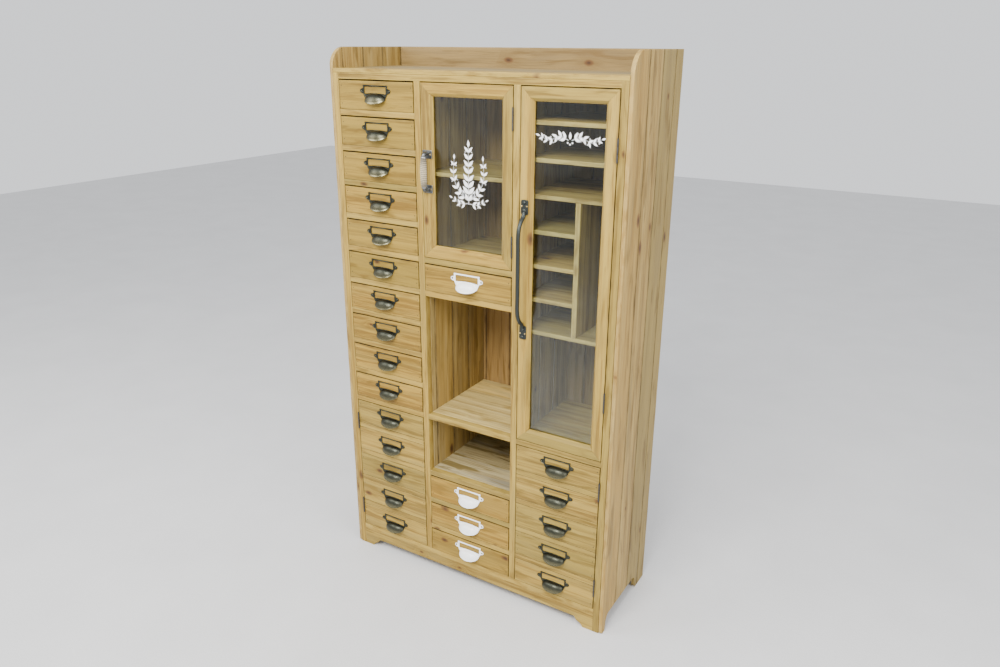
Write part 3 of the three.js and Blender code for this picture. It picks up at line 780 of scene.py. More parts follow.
def metal(name, patina, polish, rubbed, rough, grainy=1.0, metallic=1.0):
    """Patinated metal that is rubbed bright where wear is high, with fine cast grain."""
    finish = Finish(name)
    place = finish.out(finish.node("TexCoord"), "Object")
    wear = finish.attribute("wear")
    mottle = finish.noise(place, 95.0, 3.0, 0.6)
    fine = finish.noise(place, 900.0, 2.0, 0.6)
    bright = finish.between(wear + (mottle - 0.5) * 0.35, 0.85 - rubbed, 1.6 - rubbed)
    tint = finish.mix(bright, patina, polish)
    tint = finish.mix(finish.between(mottle, 0.5, 0.75) * 0.35, tint, toned(patina, 0.6))
    return finish.shader(
        Base_Color=tint,
        Metallic=metallic,
        Roughness=rough + (mottle - 0.5) * 0.25 - bright * 0.1,
        Normal=finish.bump(mottle * 0.6 + fine * 0.4, 0.0004 * grainy, 0.5),
    )


def enamel(name, tint):
    """White enamel with soft orange peel, yellowed a little in patches and thin at its edges."""
    finish = Finish(name)
    place = finish.out(finish.node("TexCoord"), "Object")
    wear = finish.attribute("wear")
    mottle = finish.noise(place, 60.0, 3.0, 0.6)
    peel = finish.noise(place, 420.0, 1.0, 0.4)
    chip = finish.between(finish.noise(place, 520.0, 2.0, 0.7) + wear * 0.08, 0.72, 0.76)
    body = finish.mix(finish.between(mottle, 0.4, 0.8) * 0.22, tint, (0.78, 0.76, 0.70))
    body = finish.mix(chip * 0.7, body, (0.22, 0.19, 0.15))
    return finish.shader(
        Base_Color=body,
        Roughness=chip * 0.3 + mottle * 0.16 + 0.24,
        Normal=finish.bump(peel - chip * 0.6, 0.0003, 0.5),
        Coat_Weight=0.25,
        Coat_Roughness=0.12,
    )


def cotton(name, tint):
    """Twisted cotton cord: strands that slant along each turn, with fluff and grey handling marks, and
    painted shade darkening the grooves between the turns.
    """
    finish = Finish(name)
    x, y, z = finish.parts(finish.attribute("grain", "Vector"))
    relief = finish.attribute("wear")
    strand = finish.math("SINE", x * 2600 + y * 900 + z * 700) * 0.5 + 0.5
    fluff = finish.noise(finish.vector(x * 900, y * 900, z * 900), 1.0, 3.0, 0.7)
    soil = finish.noise(finish.vector(x * 60, y * 80, z * 80), 1.0, 2.0)
    body = finish.mix(strand * 0.35 + fluff * 0.3, toned(tint, 0.62), tint)
    body = finish.mix(finish.between(soil, 0.5, 0.75) * 0.4, body, toned(tint, 0.66))
    # Painted shade: where the cord sinks between its turns its colour falls towards a fifth.
    body = finish.mix(finish.between(relief, 0.45, 0.85), toned(tint, 0.20), body)
    return finish.shader(
        Base_Color=body,
        Roughness=fluff * 0.2 + 0.75,
        Normal=finish.bump(strand * 0.6 + fluff * 0.4, 0.0005, 0.7),
        Sheen_Weight=0.3,
    )


def old_glass(name):
    """Clear drawn glass: what lies behind it shows through, and a share of the light is mirrored.

    The share is a Mix Shader's factor: 0.55 of what glass of index 1.5 mirrors. Faint waves bend the
    reflection, and dust adds to it in patches.
    """
    finish = Finish(name)
    place = finish.out(finish.node("TexCoord"), "Object")
    wave = finish.noise(place, 7.0, 1.0, 0.4)
    dust = finish.between(finish.noise(place, 16.0, 4.0, 0.65), 0.45, 0.85)
    normal = finish.bump(wave, 0.004, 0.35)
    fresnel = finish.out(finish.node("Fresnel", inputs={"IOR": 1.5}))
    clear = finish.node("BsdfTransparent", inputs={"Color": (0.925, 0.955, 0.925)})
    reflection = {"Color": (1.0, 0.99, 0.97), "Roughness": 0.04, "Normal": normal}
    mirror = finish.node("BsdfGlossy", inputs=reflection)
    share = finish.math("MINIMUM", fresnel * 0.55 + dust * 0.012, 1.0)
    pane = finish.node("MixShader", inputs={0: share, 1: finish.out(clear), 2: finish.out(mirror)})
    finish.node("OutputMaterial", inputs={0: finish.out(pane)})
    return finish.material


def painted(name, tint):
    """Screened paint on glass, a little uneven and matt."""
    finish = Finish(name)
    place = finish.out(finish.node("TexCoord"), "Object")
    thin = finish.noise(place, 240.0, 3.0, 0.6)
    return finish.shader(
        Base_Color=finish.mix(finish.between(thin, 0.5, 0.75) * 0.3, tint, toned(tint, 0.8)),
        Roughness=thin * 0.2 + 0.45,
        Normal=finish.bump(thin, 0.0002, 0.4),
    )


finishes = {}

# What sets each wood apart from the others, by the name of its colour.
WOODS = {
    "front": {},
    "drawer": {"knots": 0.5, "lines": 0.5},
    "side": {"dirt": 0.65, "knots": 0.34, "lines": 0.36, "streaks": 3.0},
    "inside": {"dirt": 0.5},
    "divider": {"knots": 0.5},
    "niche": {"lines": 0.3, "streaks": 3.0},
    "low_niche": {"dirt": 1.0, "lines": 0.3, "streaks": 2.5},
    "shelf": {"lines": 0.26},
    "top": {"dullness": 0.7, "lines": 0.22},
}

# Patina, rubbed metal, how much is rubbed, roughness, depth of the cast grain and how metallic it is.
FITTINGS = {
    "bracket": ("galvanised_bracket", (0.12, 0.125, 0.125), (0.50, 0.50, 0.49), 0.35, 0.38),
    "brass": ("brass_screw", (0.30, 0.22, 0.10), (0.80, 0.64, 0.34), 0.6, 0.35),
    "hinge": ("black_hinge", (0.035, 0.033, 0.03), (0.14, 0.13, 0.12), 0.1, 0.6, 1.0, 0.6),
}


def make_finishes(colours):
    """Makes every finish once."""
    if finishes:
        return
    for key, options in WOODS.items():
        finishes[key] = wood(f"{key}_fir", list(getattr(colours, key)), **options)
    finishes["runner"] = wood("runner_fir", list(colours.inside), on_object=True)
    for key, options in FITTINGS.items():
        finishes[key] = metal(*options)
    finishes["pewter"] = metal("pewter_patina", list(colours.pewter), list(colours.polish), 0.55, 0.36)
    finishes["iron"] = metal("forged_iron", list(colours.iron), (0.30, 0.32, 0.31), -0.15, 0.42, 2.5, 0.9)
    finishes["enamel"] = enamel("white_enamel", list(colours.enamel))
    finishes["cord"] = cotton("cotton_cord", list(colours.cord))
    finishes["glass"] = old_glass("old_glass")
    finishes["paint"] = painted("white_paint", list(colours.paint))


# ---------------------------------------------------------------------------------------------------------
# Carcass
# ---------------------------------------------------------------------------------------------------------
def tongued(shell, axes, across, through, along, first, seed, samples=(), start=None, stop=None):
    """Adds a panel of tongued boards, each a round-edged board that meets the next at its joint."""
    sizes = bpy.context.scene.cabinet_sizes
    places = cuts(across[0], across[1], first, sizes.board)
    for k, pair in enumerate(zip(places[:-1], places[1:])):
        # Each joint between two boards gets painted shade and grime along its edges through dark.
        board(
            shell, axes, pair, through, along, seed + k * 1.37,
            radius=sizes.joint, samples=samples, start=start, stop=stop, ends=0.8 * MM, step=0.06,
            dark=(float(k > 0), float(k < len(places) - 2), 0.0),
        )


FRONT_FOOT = 24 * MM
REAR_FOOT = 78 * MM
FOOT_CURVE = 30 * MM
ARCH_HEIGHT = 54 * MM
FOOT_NOSE = 8 * MM


def side_foot(place):
    """Height of a side board's lower edge: two feet and the flat arch between them.

    With t the square root of the way across a foot's curve, the edge rises as 2t less t squared. The front
    foot's nose is worn to a quarter circle.
    """
    y = place - FRONT
    depth = BACK - FRONT
    worn = FOOT_NOSE - np.sqrt(np.clip(FOOT_NOSE**2 - np.clip(FOOT_NOSE - y, 0, FOOT_NOSE) ** 2, 0, None))
    front = np.sqrt(np.clip((y - FRONT_FOOT) / FOOT_CURVE, 0, 1))
    rear = np.sqrt(np.clip((depth - REAR_FOOT - y) / FOOT_CURVE, 0, 1))
    t = np.minimum(front, rear)
    return worn + ARCH_HEIGHT * (2 * t - t * t)


def side_shoulder(place):
    """How far a side board's top falls below the full height: a quarter circle at the front."""
    radius = HEIGHT - TOP_FACE + 1 * MM
    y = np.clip(place - FRONT, 0, radius)
    return np.sqrt(np.clip(radius**2 - (radius - y) ** 2, 0, None)) - radius


def curve_samples():
    """Places across a side board where its outline bends most."""
    bend = 1 - np.cos(np.linspace(0, math.pi / 2, 14))
    radius = HEIGHT - TOP_FACE
    near_front = FRONT + 1.2 * MM + bend * radius
    foot = np.linspace(FRONT_FOOT, FRONT_FOOT + FOOT_CURVE, 9) + 0.01 * MM
    depth = BACK - FRONT
    rear = depth - REAR_FOOT - np.linspace(0, FOOT_CURVE, 9) - 0.01 * MM
    turns = (FRONT + FRONT_FOOT - 0.1 * MM, BACK - REAR_FOOT + 0.1 * MM)
    return sorted([*near_front, *(FRONT + foot), *(FRONT + rear), *turns])


class PieceOperator:
    """What the operators share: each makes its finishes first and raises if it can't finish."""

    bl_options = {"REGISTER", "UNDO"}

    @classmethod
    def poll(cls, context):
        """The solids have to be there."""
        return bool(frame["nodes"])

    def execute(self, context):
        """Makes the pieces."""
        make_finishes(context.scene.cabinet_colours)
        self.build(context.scene.cabinet_sizes)
        return {"FINISHED"}


class CABINET_OT_side_boards(PieceOperator, bpy.types.Operator):
    """Side panels of tongued boards, with cut feet and a rounded front top corner"""

    bl_idname = "cabinet.side_boards"
    bl_label = "Side boards"

    def build(self, sizes):
        """Each side is a row of boards whose ends follow the foot and shoulder curves."""
        for side, first in (("left", 49), ("right", 100)):
            name, node = f"{side}_side", f"side_panel_{side}"
            shell = Shell()
            through = (low(node)[X], high(node)[X])
            along = (0.0, HEIGHT)
            tongued(
                shell, SIDE, (FRONT, BACK), through, along, first * MM, seed_of(name),
                samples=curve_samples(), start=side_foot, stop=side_shoulder,
            )
            shell.place(name, "carcass", [finishes["side"]], "side_wood", [node])


class CABINET_OT_back_boards(PieceOperator, bpy.types.Operator):
    """Back panel of upright tongued boards"""

    bl_idname = "cabinet.back_boards"
    bl_label = "Back boards"

    def build(self, sizes):
        """Boards side by side between the side panels."""
        shell = Shell()
        a, b = low("back_panel"), high("back_panel")
        tongued(shell, UPRIGHT, (a[X], b[X]), (a[Y], b[Y]), (a[Z], b[Z]), 44 * MM, 3.1)
        shell.place("back_boards", "carcass", [finishes["inside"]], "inside_wood", ["back_panel"])


class CABINET_OT_dividers(PieceOperator, bpy.types.Operator):
    """Uprights of tongued boards between the columns"""

    bl_idname = "cabinet.dividers"
    bl_label = "Dividers"

    def build(self, sizes):
        """Each upright is a row of boards from the front frame to the back."""
        for side in ("left", "right"):
            name, node = f"{side}_divider", f"divider_{side}"
            shell = Shell()
            a, b = low(node), high(node)
            tongued(shell, SIDE, (a[Y], b[Y]), (a[X], b[X]), (a[Z], b[Z]), 26 * MM, seed_of(name))
            shell.place(name, "carcass", [finishes["divider"]], "inside_wood", [node])


class CABINET_OT_front_frame(PieceOperator, bpy.types.Operator):
    """Front frame: four uprights and the rails between the rows"""

    bl_idname = "cabinet.front_frame"
    bl_label = "Front frame"

    def build(self, sizes):
        """Uprights run the full height, rails are cut between them and butt tightly."""
        shell = Shell()
        deep = (FRONT, BEHIND_FRAME)
        tight = 0.35 * MM
        left, middle, right = COLUMNS["left"], COLUMNS["middle"], COLUMNS["right"]
        top = FRAME_TOP - 0.3 * MM
        full, inner = (0, top), (OPENING_BOTTOM, row_top(1))
        # The last three numbers of each upright say how much painted shade and grime darken its edges towards
        # the drawer gaps.
        uprights = (
            ((-INNER, left[0]), full, (1.0, 0.9, 0.0)),
            ((right[1], INNER), full, (0.9, 1.0, 0.0)),
            ((left[1], middle[0]), inner, (0.9, 0.2, 0.0)),
            ((middle[1], right[0]), inner, (0.2, 0.9, 0.0)),
        )
        for k, (across, along, dark) in enumerate(uprights):
            board(shell, UPRIGHT, across, deep, along, 20.3 + k, radius=FRAME_EDGE, ends=tight, dark=dark)
        head = (row_top(1), top)
        board(shell, LYING, head, deep, (left[0], right[1]), 31.7, radius=0.7 * MM, ends=tight)
        for c, (span, rows) in enumerate(self.rails()):
            for row in rows:
                edges = (row_bottom(row) - RAIL, row_bottom(row))
                # Rails beside a drawer get painted shade and grime at their edges; the edges open onto a
                # niche get none.
                below = 0.0 if c == 1 and row in (6, 10) else 0.8
                above = 0.0 if c == 1 and row in (10, 12) else 0.8
                seed = 40.1 + c * 17 + row * 1.9
                dark = (below, above, 1.0)
                board(shell, LYING, edges, deep, span, seed, radius=FRAME_EDGE, ends=tight, dark=dark)
        shell.place("front_frame", "carcass", [finishes["front"]], "front_wood", ["face_frame"])

    def rails(self):
        """Each column with the rows that have a rail below them. The niches are open on some sides."""
        return [
            (COLUMNS["left"], range(1, UPPER_ROWS + 1)),
            (COLUMNS["middle"], (MIDDLE_DOOR_ROW, 6, 10, 12, 13, 14)),
            (COLUMNS["right"], (UPPER_ROWS,)),
        ]


def apron_edge(place):
    """Height of the apron's lower edge: feet at the ends and a double curve up to the straight part.

    The first half of the rise is a square root of the way, and the second its power of 1.7.
    """
    foot, curve, height = 36 * MM, 30 * MM, 32 * MM
    t = np.clip((STILE_EDGE - np.abs(place) - foot) / curve, 0, 1)
    first = 0.5 * np.sqrt(np.clip(t * 2, 0, 1))
    second = 0.5 + 0.5 * np.clip(2 * t - 1, 0, 1) ** 1.7
    return height * np.where(t < 0.5, first, second)


class CABINET_OT_apron(PieceOperator, bpy.types.Operator):
    """Front apron with shaped feet"""

    bl_idname = "cabinet.apron"
    bl_label = "Apron"

    def build(self, sizes):
        """One board whose lower edge follows the apron curve, with its grain lying across."""
        a, b = low("front_apron"), high("front_apron")
        shell = Shell()
        bend = np.linspace(34 * MM, 68 * MM, 26)
        straight = np.linspace(-0.36, 0.36, 13)
        samples = sorted([*(STILE_EDGE - bend), *(bend - STILE_EDGE), *straight])
        board(
            shell, UPRIGHT, (a[X], b[X]), (a[Y], b[Y]), (a[Z], b[Z]), 61.3,
            radius=0.8 * MM, start=apron_edge, samples=samples, step=0.02,
        )
        grain = shell.grain[0]
        shell.grain[0] = grain[:, [1, 0, 2]] + np.array([4.0, -grain[:, 0].mean(), 0.0])
        shell.place("apron", "carcass", [finishes["front"]], "front_wood", ["front_apron"])


class CABINET_OT_top(PieceOperator, bpy.types.Operator):
    """Top board and the gallery board behind it"""

    bl_idname = "cabinet.top"
    bl_label = "Top and gallery"

    def build(self, sizes):
        """The top is four boards glued edge to edge, the front one rounded. The gallery is one board."""
        shell = Shell()
        a, b = low("top_board"), high("top_board")
        edges = np.linspace(a[Y], b[Y], 5)
        for k in range(4):
            board(
                shell, SHELF, (edges[k], edges[k + 1]), (a[Z], b[Z]), (a[X], b[X]), 71.9 + k * 2.3,
                radius=1.2 * MM if k == 0 else 0.4 * MM, slot=0 if k else 1, ends=CUT_END,
            )
        materials = [finishes["top"], finishes["front"]]
        shell.place("top_boards", "carcass", materials, "front_wood", ["top_board"])
        shell = Shell()
        a, b = low("gallery_board"), high("gallery_board")
        board(shell, LYING, (a[Z], b[Z]), (a[Y], b[Y]), (a[X], b[X]), 83.2, ends=CUT_END)
        # The gallery board takes the darker inside wood as painted shade, for the shade it stands in behind
        # the top.
        shell.place("gallery", "carcass", [finishes["inside"]], "side_wood", ["gallery_board"])


def glued(shell, deep, thick, across, seed, step=1.0, front=SOFT_EDGE, radius=GLUED_EDGE, slot=0):
    """Adds a shelf of three boards glued edge to edge, whose front board has an edge of its own."""
    edges = np.linspace(deep[0], deep[1], 4)
    for k, pair in enumerate(zip(edges[:-1], edges[1:])):
        board(
            shell, SHELF, pair, thick, across, seed + k * step,
            radius=radius if k else front, slot=slot, ends=CUT_END,
        )


def shelf_of(name, node, finish="shelf"):
    """One fixed shelf, glued up of boards that run from side to side."""
    shell = Shell()
    a, b = low(node), high(node)
    glued(shell, (a[Y], b[Y]), (a[Z], b[Z]), (a[X], b[X]), seed_of(name), 1.7)
    shell.place(name, "carcass", [finishes[finish]], "inside_wood", [node])


class CABINET_OT_shelves(PieceOperator, bpy.types.Operator):
    """Shelves, floors and the bottom board"""

    bl_idname = "cabinet.shelves"
    bl_label = "Shelves"

    def build(self, sizes):
        """Each shelf is three boards. The bottom steps in behind the stiles, and the rack comes last."""
        shelf_of("left_cupboard_head", "left_cupboard_top")
        shelf_of("middle_shelf", "middle_cupboard_shelf")
        shelf_of("middle_floor", "middle_cupboard_floor")
        shelf_of("niche_head", "niche_top")
        shelf_of("niche_middle_shelf", "niche_shelf", "niche")
        shelf_of("niche_floor", "lower_niche_floor", "low_niche")
        shelf_of("right_floor", "right_cupboard_floor")
        for k in range(1, 5):
            shelf_of(f"right_shelf_{k}", f"right_cupboard_shelf_{k}")
        shell = Shell()
        a, b = low("bottom_board"), high("bottom_board")
        step = BEHIND_FRAME + 0.3 * MM
        thick = (a[Z], b[Z])
        board(shell, SHELF, (FRONT, step), thick, (-STILE_EDGE, STILE_EDGE), 91.1, radius=FRAME_EDGE)
        glued(shell, (step, b[Y]), thick, (a[X], b[X]), 93.7, front=GLUED_EDGE)
        shell.place("bottom", "carcass", [finishes["front"]], "front_wood", ["bottom_board"])
        self.rack()

    def rack(self):
        """The pigeonhole rack: an upright and three short shelves let into it."""
        shell = Shell()
        a, b = low("pigeonhole_rack"), high("pigeonhole_rack")
        deep = (a[Y], b[Y])
        upright = (b[X] - 15 * MM, b[X])
        board(shell, SIDE, deep, upright, (a[Z], b[Z]), 101.3, radius=SOFT_EDGE, ends=CUT_END)
        lowest = low("right_cupboard_shelf_4")[Z]
        shelf = high("right_cupboard_shelf_4")[Z] - lowest
        pitch = (low("right_cupboard_shelf_3")[Z] - lowest) / 4
        for k in range(1, 4):
            under = lowest + k * pitch
            glued(shell, deep, (under, under + shelf), (a[X], upright[0]), 103.1 + k * 3)
        shell.place("pigeonholes", "carcass", [finishes["shelf"]], "inside_wood", ["pigeonhole_rack"])


class CABINET_OT_runners(PieceOperator, bpy.types.Operator):
    """Finish of the drawer runners, which keep their solids"""

    bl_idname = "cabinet.runners"
    bl_label = "Runners"

    def build(self, sizes):
        """Puts the runner wood in every slot of the two runner frames."""
        for node in ("drawer_runners_left", "drawer_runners_middle"):
            piece = frame["nodes"][node]
            if not piece.material_slots:
                piece.data.materials.append(finishes["runner"])
            for place in piece.material_slots:
                place.material = finishes["runner"]


# ---------------------------------------------------------------------------------------------------------
# Drawers and pulls
# ---------------------------------------------------------------------------------------------------------
class CABINET_OT_drawers(PieceOperator, bpy.types.Operator):
    """Drawers: a front board with brads at its ends, and a box behind it"""

    bl_idname = "cabinet.drawers"
    bl_label = "Drawers"

    def build(self, sizes):
        """Each drawer is seven boards and four brads on the solid's own box."""
        for label, number in (("left", 10), ("middle", 4)):
            for k in range(1, number + 1):
                self.drawer(f"{label}_{k:02d}")

    def drawer(self, key):
        """The front fills the solid's width; the box behind it is narrower and lower."""
        a, b = low(f"drawer_{key}"), high(f"drawer_{key}")
        seed = seed_of(key) + 5
        wall, base, inset, drop, thick = 9 * MM, 6 * MM, 3 * MM, 14 * MM, 18 * MM
        gap_above, gap_right = 1.5 * MM, 1.4 * MM
        shell = Shell()
        # The front's edges and ends get painted shade and grime towards the gaps, the upper edge most.
        board(
            shell, LYING, (a[Z], b[Z] - gap_above), (a[Y], a[Y] + thick), (a[X], b[X] - gap_right), seed,
            radius=1.1 * MM, dark=(0.8, 1.0, 1.0),
        )
        x0, x1 = a[X] + inset, b[X] - inset
        y0 = a[Y] + thick
        rim = b[Z] - drop
        for k, side in enumerate(((x0, x0 + wall), (x1 - wall, x1))):
            board(shell, RUNNING, (a[Z], rim), side, (y0, b[Y]), seed + 2 + k, slot=1, ends=CUT_END)
        across = (x0 + wall, x1 - wall)
        rear = (b[Y] - wall, b[Y])
        board(shell, LYING, (a[Z] + base, rim), rear, across, seed + 5, slot=1, ends=CUT_END)
        thin = 0.4 * MM
        glued(shell, (y0, b[Y]), (a[Z], a[Z] + base), across, seed + 6, front=thin, radius=thin, slot=1)
        brads(shell, (a[X] + 9 * MM, b[X] - 9 * MM), a[Y], a[Z], b[Z])
        materials = [finishes["drawer"], finishes["shelf"], finishes["hinge"]]
        shell.place(f"drawer_box_{key}", f"sliding_{key}", materials, "drawer_wood", [f"drawer_{key}"])


def both_halves(half):
    """A closed outline from its right half, whose first and last points lie on the middle line."""
    return half + [(-x, z) for x, z in half[-2:0:-1]]


def pull_plate(shell, mm, at):
    """The plate of a pull: a band round its window, with a raised bead along both of its edges.

    The outline is drawn as its right half and mirrored. The band is carried round the window's middle: at
    each angle its section starts at the window's edge and ends at the outline.
    """
    half = [
        (0, 27), (20, 27), (38, 27), (44, 27.6), (46.6, 27.6), (46.2, 24), (45, 19), (48, 17.4), (53, 16),
        (57, 14), (58, 10.3), (57, 6.5), (53, 4.6), (48, 3), (44.5, 1), (43.5, -3), (41, -7), (39, -10.5),
        (37, -14), (32, -18), (26, -20.8), (18, -23), (9, -24.2), (0, -24.6),
    ]
    corner = [
        (0, 4.8), (20, 4.0), (36, 2.4), (40, 2), (40.6, 2.6), (40.6, 6), (40.6, 19), (40.6, 22.6), (40, 23),
        (36, 23), (0, 23),
    ]
    outline = softened(both_halves(half), 2) * mm
    window = along_outline(softened(both_halves(corner), 2) * mm, 240)
    centre = np.array([0, 12.5 * mm])
    edge = along_outline(outline, 132)
    angle = np.arctan2(edge[:, 1] - centre[1], edge[:, 0] - centre[0])
    inner = reach_at(window, centre, angle)
    outer = np.linalg.norm(edge - centre, axis=1)
    bead = np.minimum(1.6 * mm, (outer - inner) * 0.3)
    amounts = np.array([0, 0, 0.3, 1.0, 1.7, 2.2])
    heights = np.array([0, 1.2, 2.0, 2.3, 1.9, 1.3]) * mm
    inwards = inner[:, None] + bead[:, None] * amounts
    outwards = outer[:, None] - bead[:, None] * amounts[::-1]
    radii = np.concatenate([inwards, outwards], axis=1)
    deep = np.concatenate([heights, heights[::-1]])
    grid = np.empty((*radii.shape, 3))
    grid[:, :, X] = at[0] + centre[0] + radii * np.cos(angle)[:, None]
    grid[:, :, Z] = at[2] + centre[1] + radii * np.sin(angle)[:, None]
    grid[:, :, Y] = at[1] - deep
    rubbed = np.array([0, 0.15, 0.40, 0.45, 0.1, 0.0])
    rubbed = np.concatenate([rubbed, rubbed[::-1]])
    shell.add(grid, "loop", wear=np.repeat(rubbed[None, :], len(angle), axis=0))


def pull_cup(shell, mm, reach, at):
    """The cup of a pull: a quarter of an ellipsoid whose lip sags in the middle.

    Upwards from its corners it is half an ellipse, so it leaves the plate along an arch. Each point is
    lowered by the sine of its turn, least at the top and most at the lip, so the lip hangs as a shallow
    curve and the cup looks like a lens. The wall is that skin, a rolled lip and the same skin set in. Hands
    rub it bright low down.
    """
    turn = np.linspace(0, math.pi, 34)[:, None]
    quarter = math.pi / 2 * np.sin(np.linspace(math.pi / 2, 0, 13))
    rise = np.sin(quarter)
    level = np.clip(np.cos(quarter), 0.06, 1)
    width = 38 * mm * level**0.9
    depth = 1.0 * mm + (reach - 1.0 * mm) * level**0.8
    height = (-11.5 + rise * 14.5) * mm
    sag = 13.2 * mm * (1 - rise)
    wall = 1.3 * mm
    lip = np.array([(0.6, -0.6), (0.6, -1.3), (-0.5, -1.6), (-1.6, -0.8), (-1.6, 0.2)]) * mm
    inner_width = np.maximum(width[::-1] - wall, 1.0 * mm)
    inner_depth = np.maximum(depth[::-1] - wall, 0.3 * mm)
    section_width = np.concatenate([width, width[-1] + lip[:, 0], inner_width])
    section_depth = np.concatenate([depth, depth[-1] + lip[:, 0], inner_depth])
    section_height = np.concatenate([height, height[-1] + lip[:, 1], height[::-1] - 0.2 * mm])
    section_sag = np.concatenate([sag, np.full(len(lip), sag[-1]), sag[::-1]])
    grid = np.empty((len(turn), len(section_width) - 1, 3))
    grid[:, :, X] = at[0] + np.cos(turn) * section_width[:-1]
    grid[:, :, Y] = at[1] - 0.6 * mm - np.sin(turn) * section_depth[:-1]
    grid[:, :, Z] = at[2] + section_height[:-1] - np.sin(turn) * section_sag[:-1]
    polish = np.concatenate([0.95 * (1 - rise) ** 0.9, [1, 1, 0.6, 0.2, 0], np.zeros(12)])
    shell.add(grid, "pair", wear=polish * (0.40 + 0.60 * np.sin(turn)))


def pull_shell(sizes, at):
    """A cup pull with a label window, on a face at the given point, with a screw in each ear."""
    shell = Shell()
    mm = sizes.pull_width / 115
    pull_plate(shell, mm, at)
    pull_cup(shell, mm, sizes.cup_reach, at)
    for side in (-1, 1):
        spot = (at[0] + side * 52 * mm, at[1] - 1.2 * mm, at[2] + 10.3 * mm)
        screw(shell, spot, 2.9 * mm, 1.5 * mm, turn=0.4 + side, slot=1)
    return shell


class CABINET_OT_pulls(PieceOperator, bpy.types.Operator):
    """Cup pulls on the drawers and on the two cupboard doors"""

    bl_idname = "cabinet.pulls"
    bl_label = "Pulls"

    def build(self, sizes):
        """The pulls sit on their solids, and those on the doors in the middle of each false drawer."""
        kinds = (("left", 10, "pewter", "pewter"), ("middle", 4, "enamel", "hinge"))
        for label, number, finish, screws in kinds:
            materials = [finishes[finish], finishes[screws]]
            for k in range(1, number + 1):
                key = f"{label}_{k:02d}"
                node = f"pull_{key}"
                a, b = low(node), high(node)
                at = ((a[X] + b[X]) / 2, b[Y], (a[Z] + b[Z]) / 2)
                shell = pull_shell(sizes, at)
                shell.place(f"cup_pull_{key}", f"sliding_{key}", materials, finish, [node], 50)
        for label in ("left", "right"):
            span = COLUMNS[label]
            for row in range(UPPER_ROWS + 1, ALL_ROWS + 1):
                middle = (row_bottom(row) + row_top(row)) / 2
                shell = pull_shell(sizes, ((span[0] + span[1]) / 2, FRONT, middle + 2 * MM))
                name = f"cup_pull_{label}_door_{row - UPPER_ROWS}"
                materials = [finishes["pewter"], finishes["pewter"]]
                shell.place(name, f"{label}_cupboard_door", materials, "pewter", (), 50)


# ---------------------------------------------------------------------------------------------------------
# Doors
# ---------------------------------------------------------------------------------------------------------
def door_frame(shell, box, sizes, seed):
    """Four mitred members round a pane. box is the door's low and high corners.

    A member's section is flat, then falls along the bevel to the sight edge, and is cut back behind the
    glass. Its ends are moved by the distance from the outer edge, which makes the mitre.
    """
    (x0, y0, z0), (x1, y1, z1) = box
    member, bevel = sizes.member, sizes.bevel
    rebate, glass_at = 7 * MM, 14 * MM

    def fall(inward):
        return bevel * np.clip((inward - (member - bevel)) / bevel, 0, 1)

    def hollow(inward):
        return -(y1 - y0 - glass_at) * (inward > member - rebate)

    marks = [
        member - bevel - 0.3 * MM, member - bevel, member - bevel / 2, member - rebate - 0.1 * MM,
        member - rebate + 0.1 * MM, member - 2 * MM, 8 * MM, 16 * MM, 24 * MM,
    ]
    gap = 0.15 * MM
    members = (
        (UPRIGHT, (x0, x0 + member), (z0, z1), 1),
        (UPRIGHT, (x1 - member, x1), (z0, z1), -1),
        (LYING, (z0, z0 + member), (x0, x1), 1),
        (LYING, (z1 - member, z1), (x0, x1), -1),
    )
    for (axes, across, along, way), step in zip(members, (0, 1, 3, 4)):
        outer = across[0] if way == 1 else across[1]

        def inward(u, outer=outer, way=way):
            return (u - outer) * way

        # Each member's outer edge, by the gap round the door, gets painted shade and grime.
        board(
            shell, axes, across, (y0, y1), along, seed + step,
            radius=SOFT_EDGE, samples=[outer + way * m for m in marks], ends=0.1 * MM,
            front=lambda u, f=inward: fall(f(u)), back=lambda u, f=inward: hollow(f(u)),
            start=lambda u, f=inward: f(u) + gap, stop=lambda u, f=inward: -f(u) - gap, step=0.06,
            dark=(float(way == 1), float(way == -1), 0.6),
        )


def hinge(name, body, at, side):
    """A small butt hinge: three round knuckles on a pin with ball ends, and a leaf beside the door."""
    shell = Shell()
    radius, half = 2.6 * MM, 30 * MM
    edges = np.linspace(-half, half, 4)
    for a, b in zip(edges[:-1], edges[1:]):
        z = np.array([a + 0.3 * MM, a + 0.6 * MM, a + 1.2 * MM, b - 1.2 * MM, b - 0.6 * MM, b - 0.3 * MM])
        size = radius * np.array([0.8, 0.95, 1, 1, 0.95, 0.8])
        path = np.stack([np.full(6, at[0]), np.full(6, at[1]), at[2] + z], axis=1)
        rod(shell, path, size, 18)
    for way in (-1, 1):
        z = way * (half + np.array([-1.0, 0.2, 1.0, 1.9, 2.4]) * MM)
        size = np.array([1.4, 1.6, 2.1, 1.6, 0.6]) * MM
        path = np.stack([np.full(5, at[0]), np.full(5, at[1]), at[2] + z], axis=1)
        rod(shell, path, size, 16)
    leaf = sorted([at[0] - side * 0.2 * MM, at[0] - side * 0.8 * MM])
    along = (at[2] - half, at[2] + half)
    board(shell, SIDE, (at[1], at[1] + 17 * MM), leaf, along, 7.7, radius=0.15 * MM, ends=0.15 * MM)
    shell.place(name, body, [finishes["hinge"]], "iron")


JOINTS = {j["child"]: j for j in frame["joints"]}


def hinges_for(body, heights):
    """Hinges on a door's own axis, at the given heights."""
    axis = JOINTS[body]["pos_m"]
    side = 1 if axis[0] > 0 else -1
    for k, z in enumerate(heights):
        hinge(f"{body}_hinge_{k + 1}", body, (axis[0], axis[1], z), side)


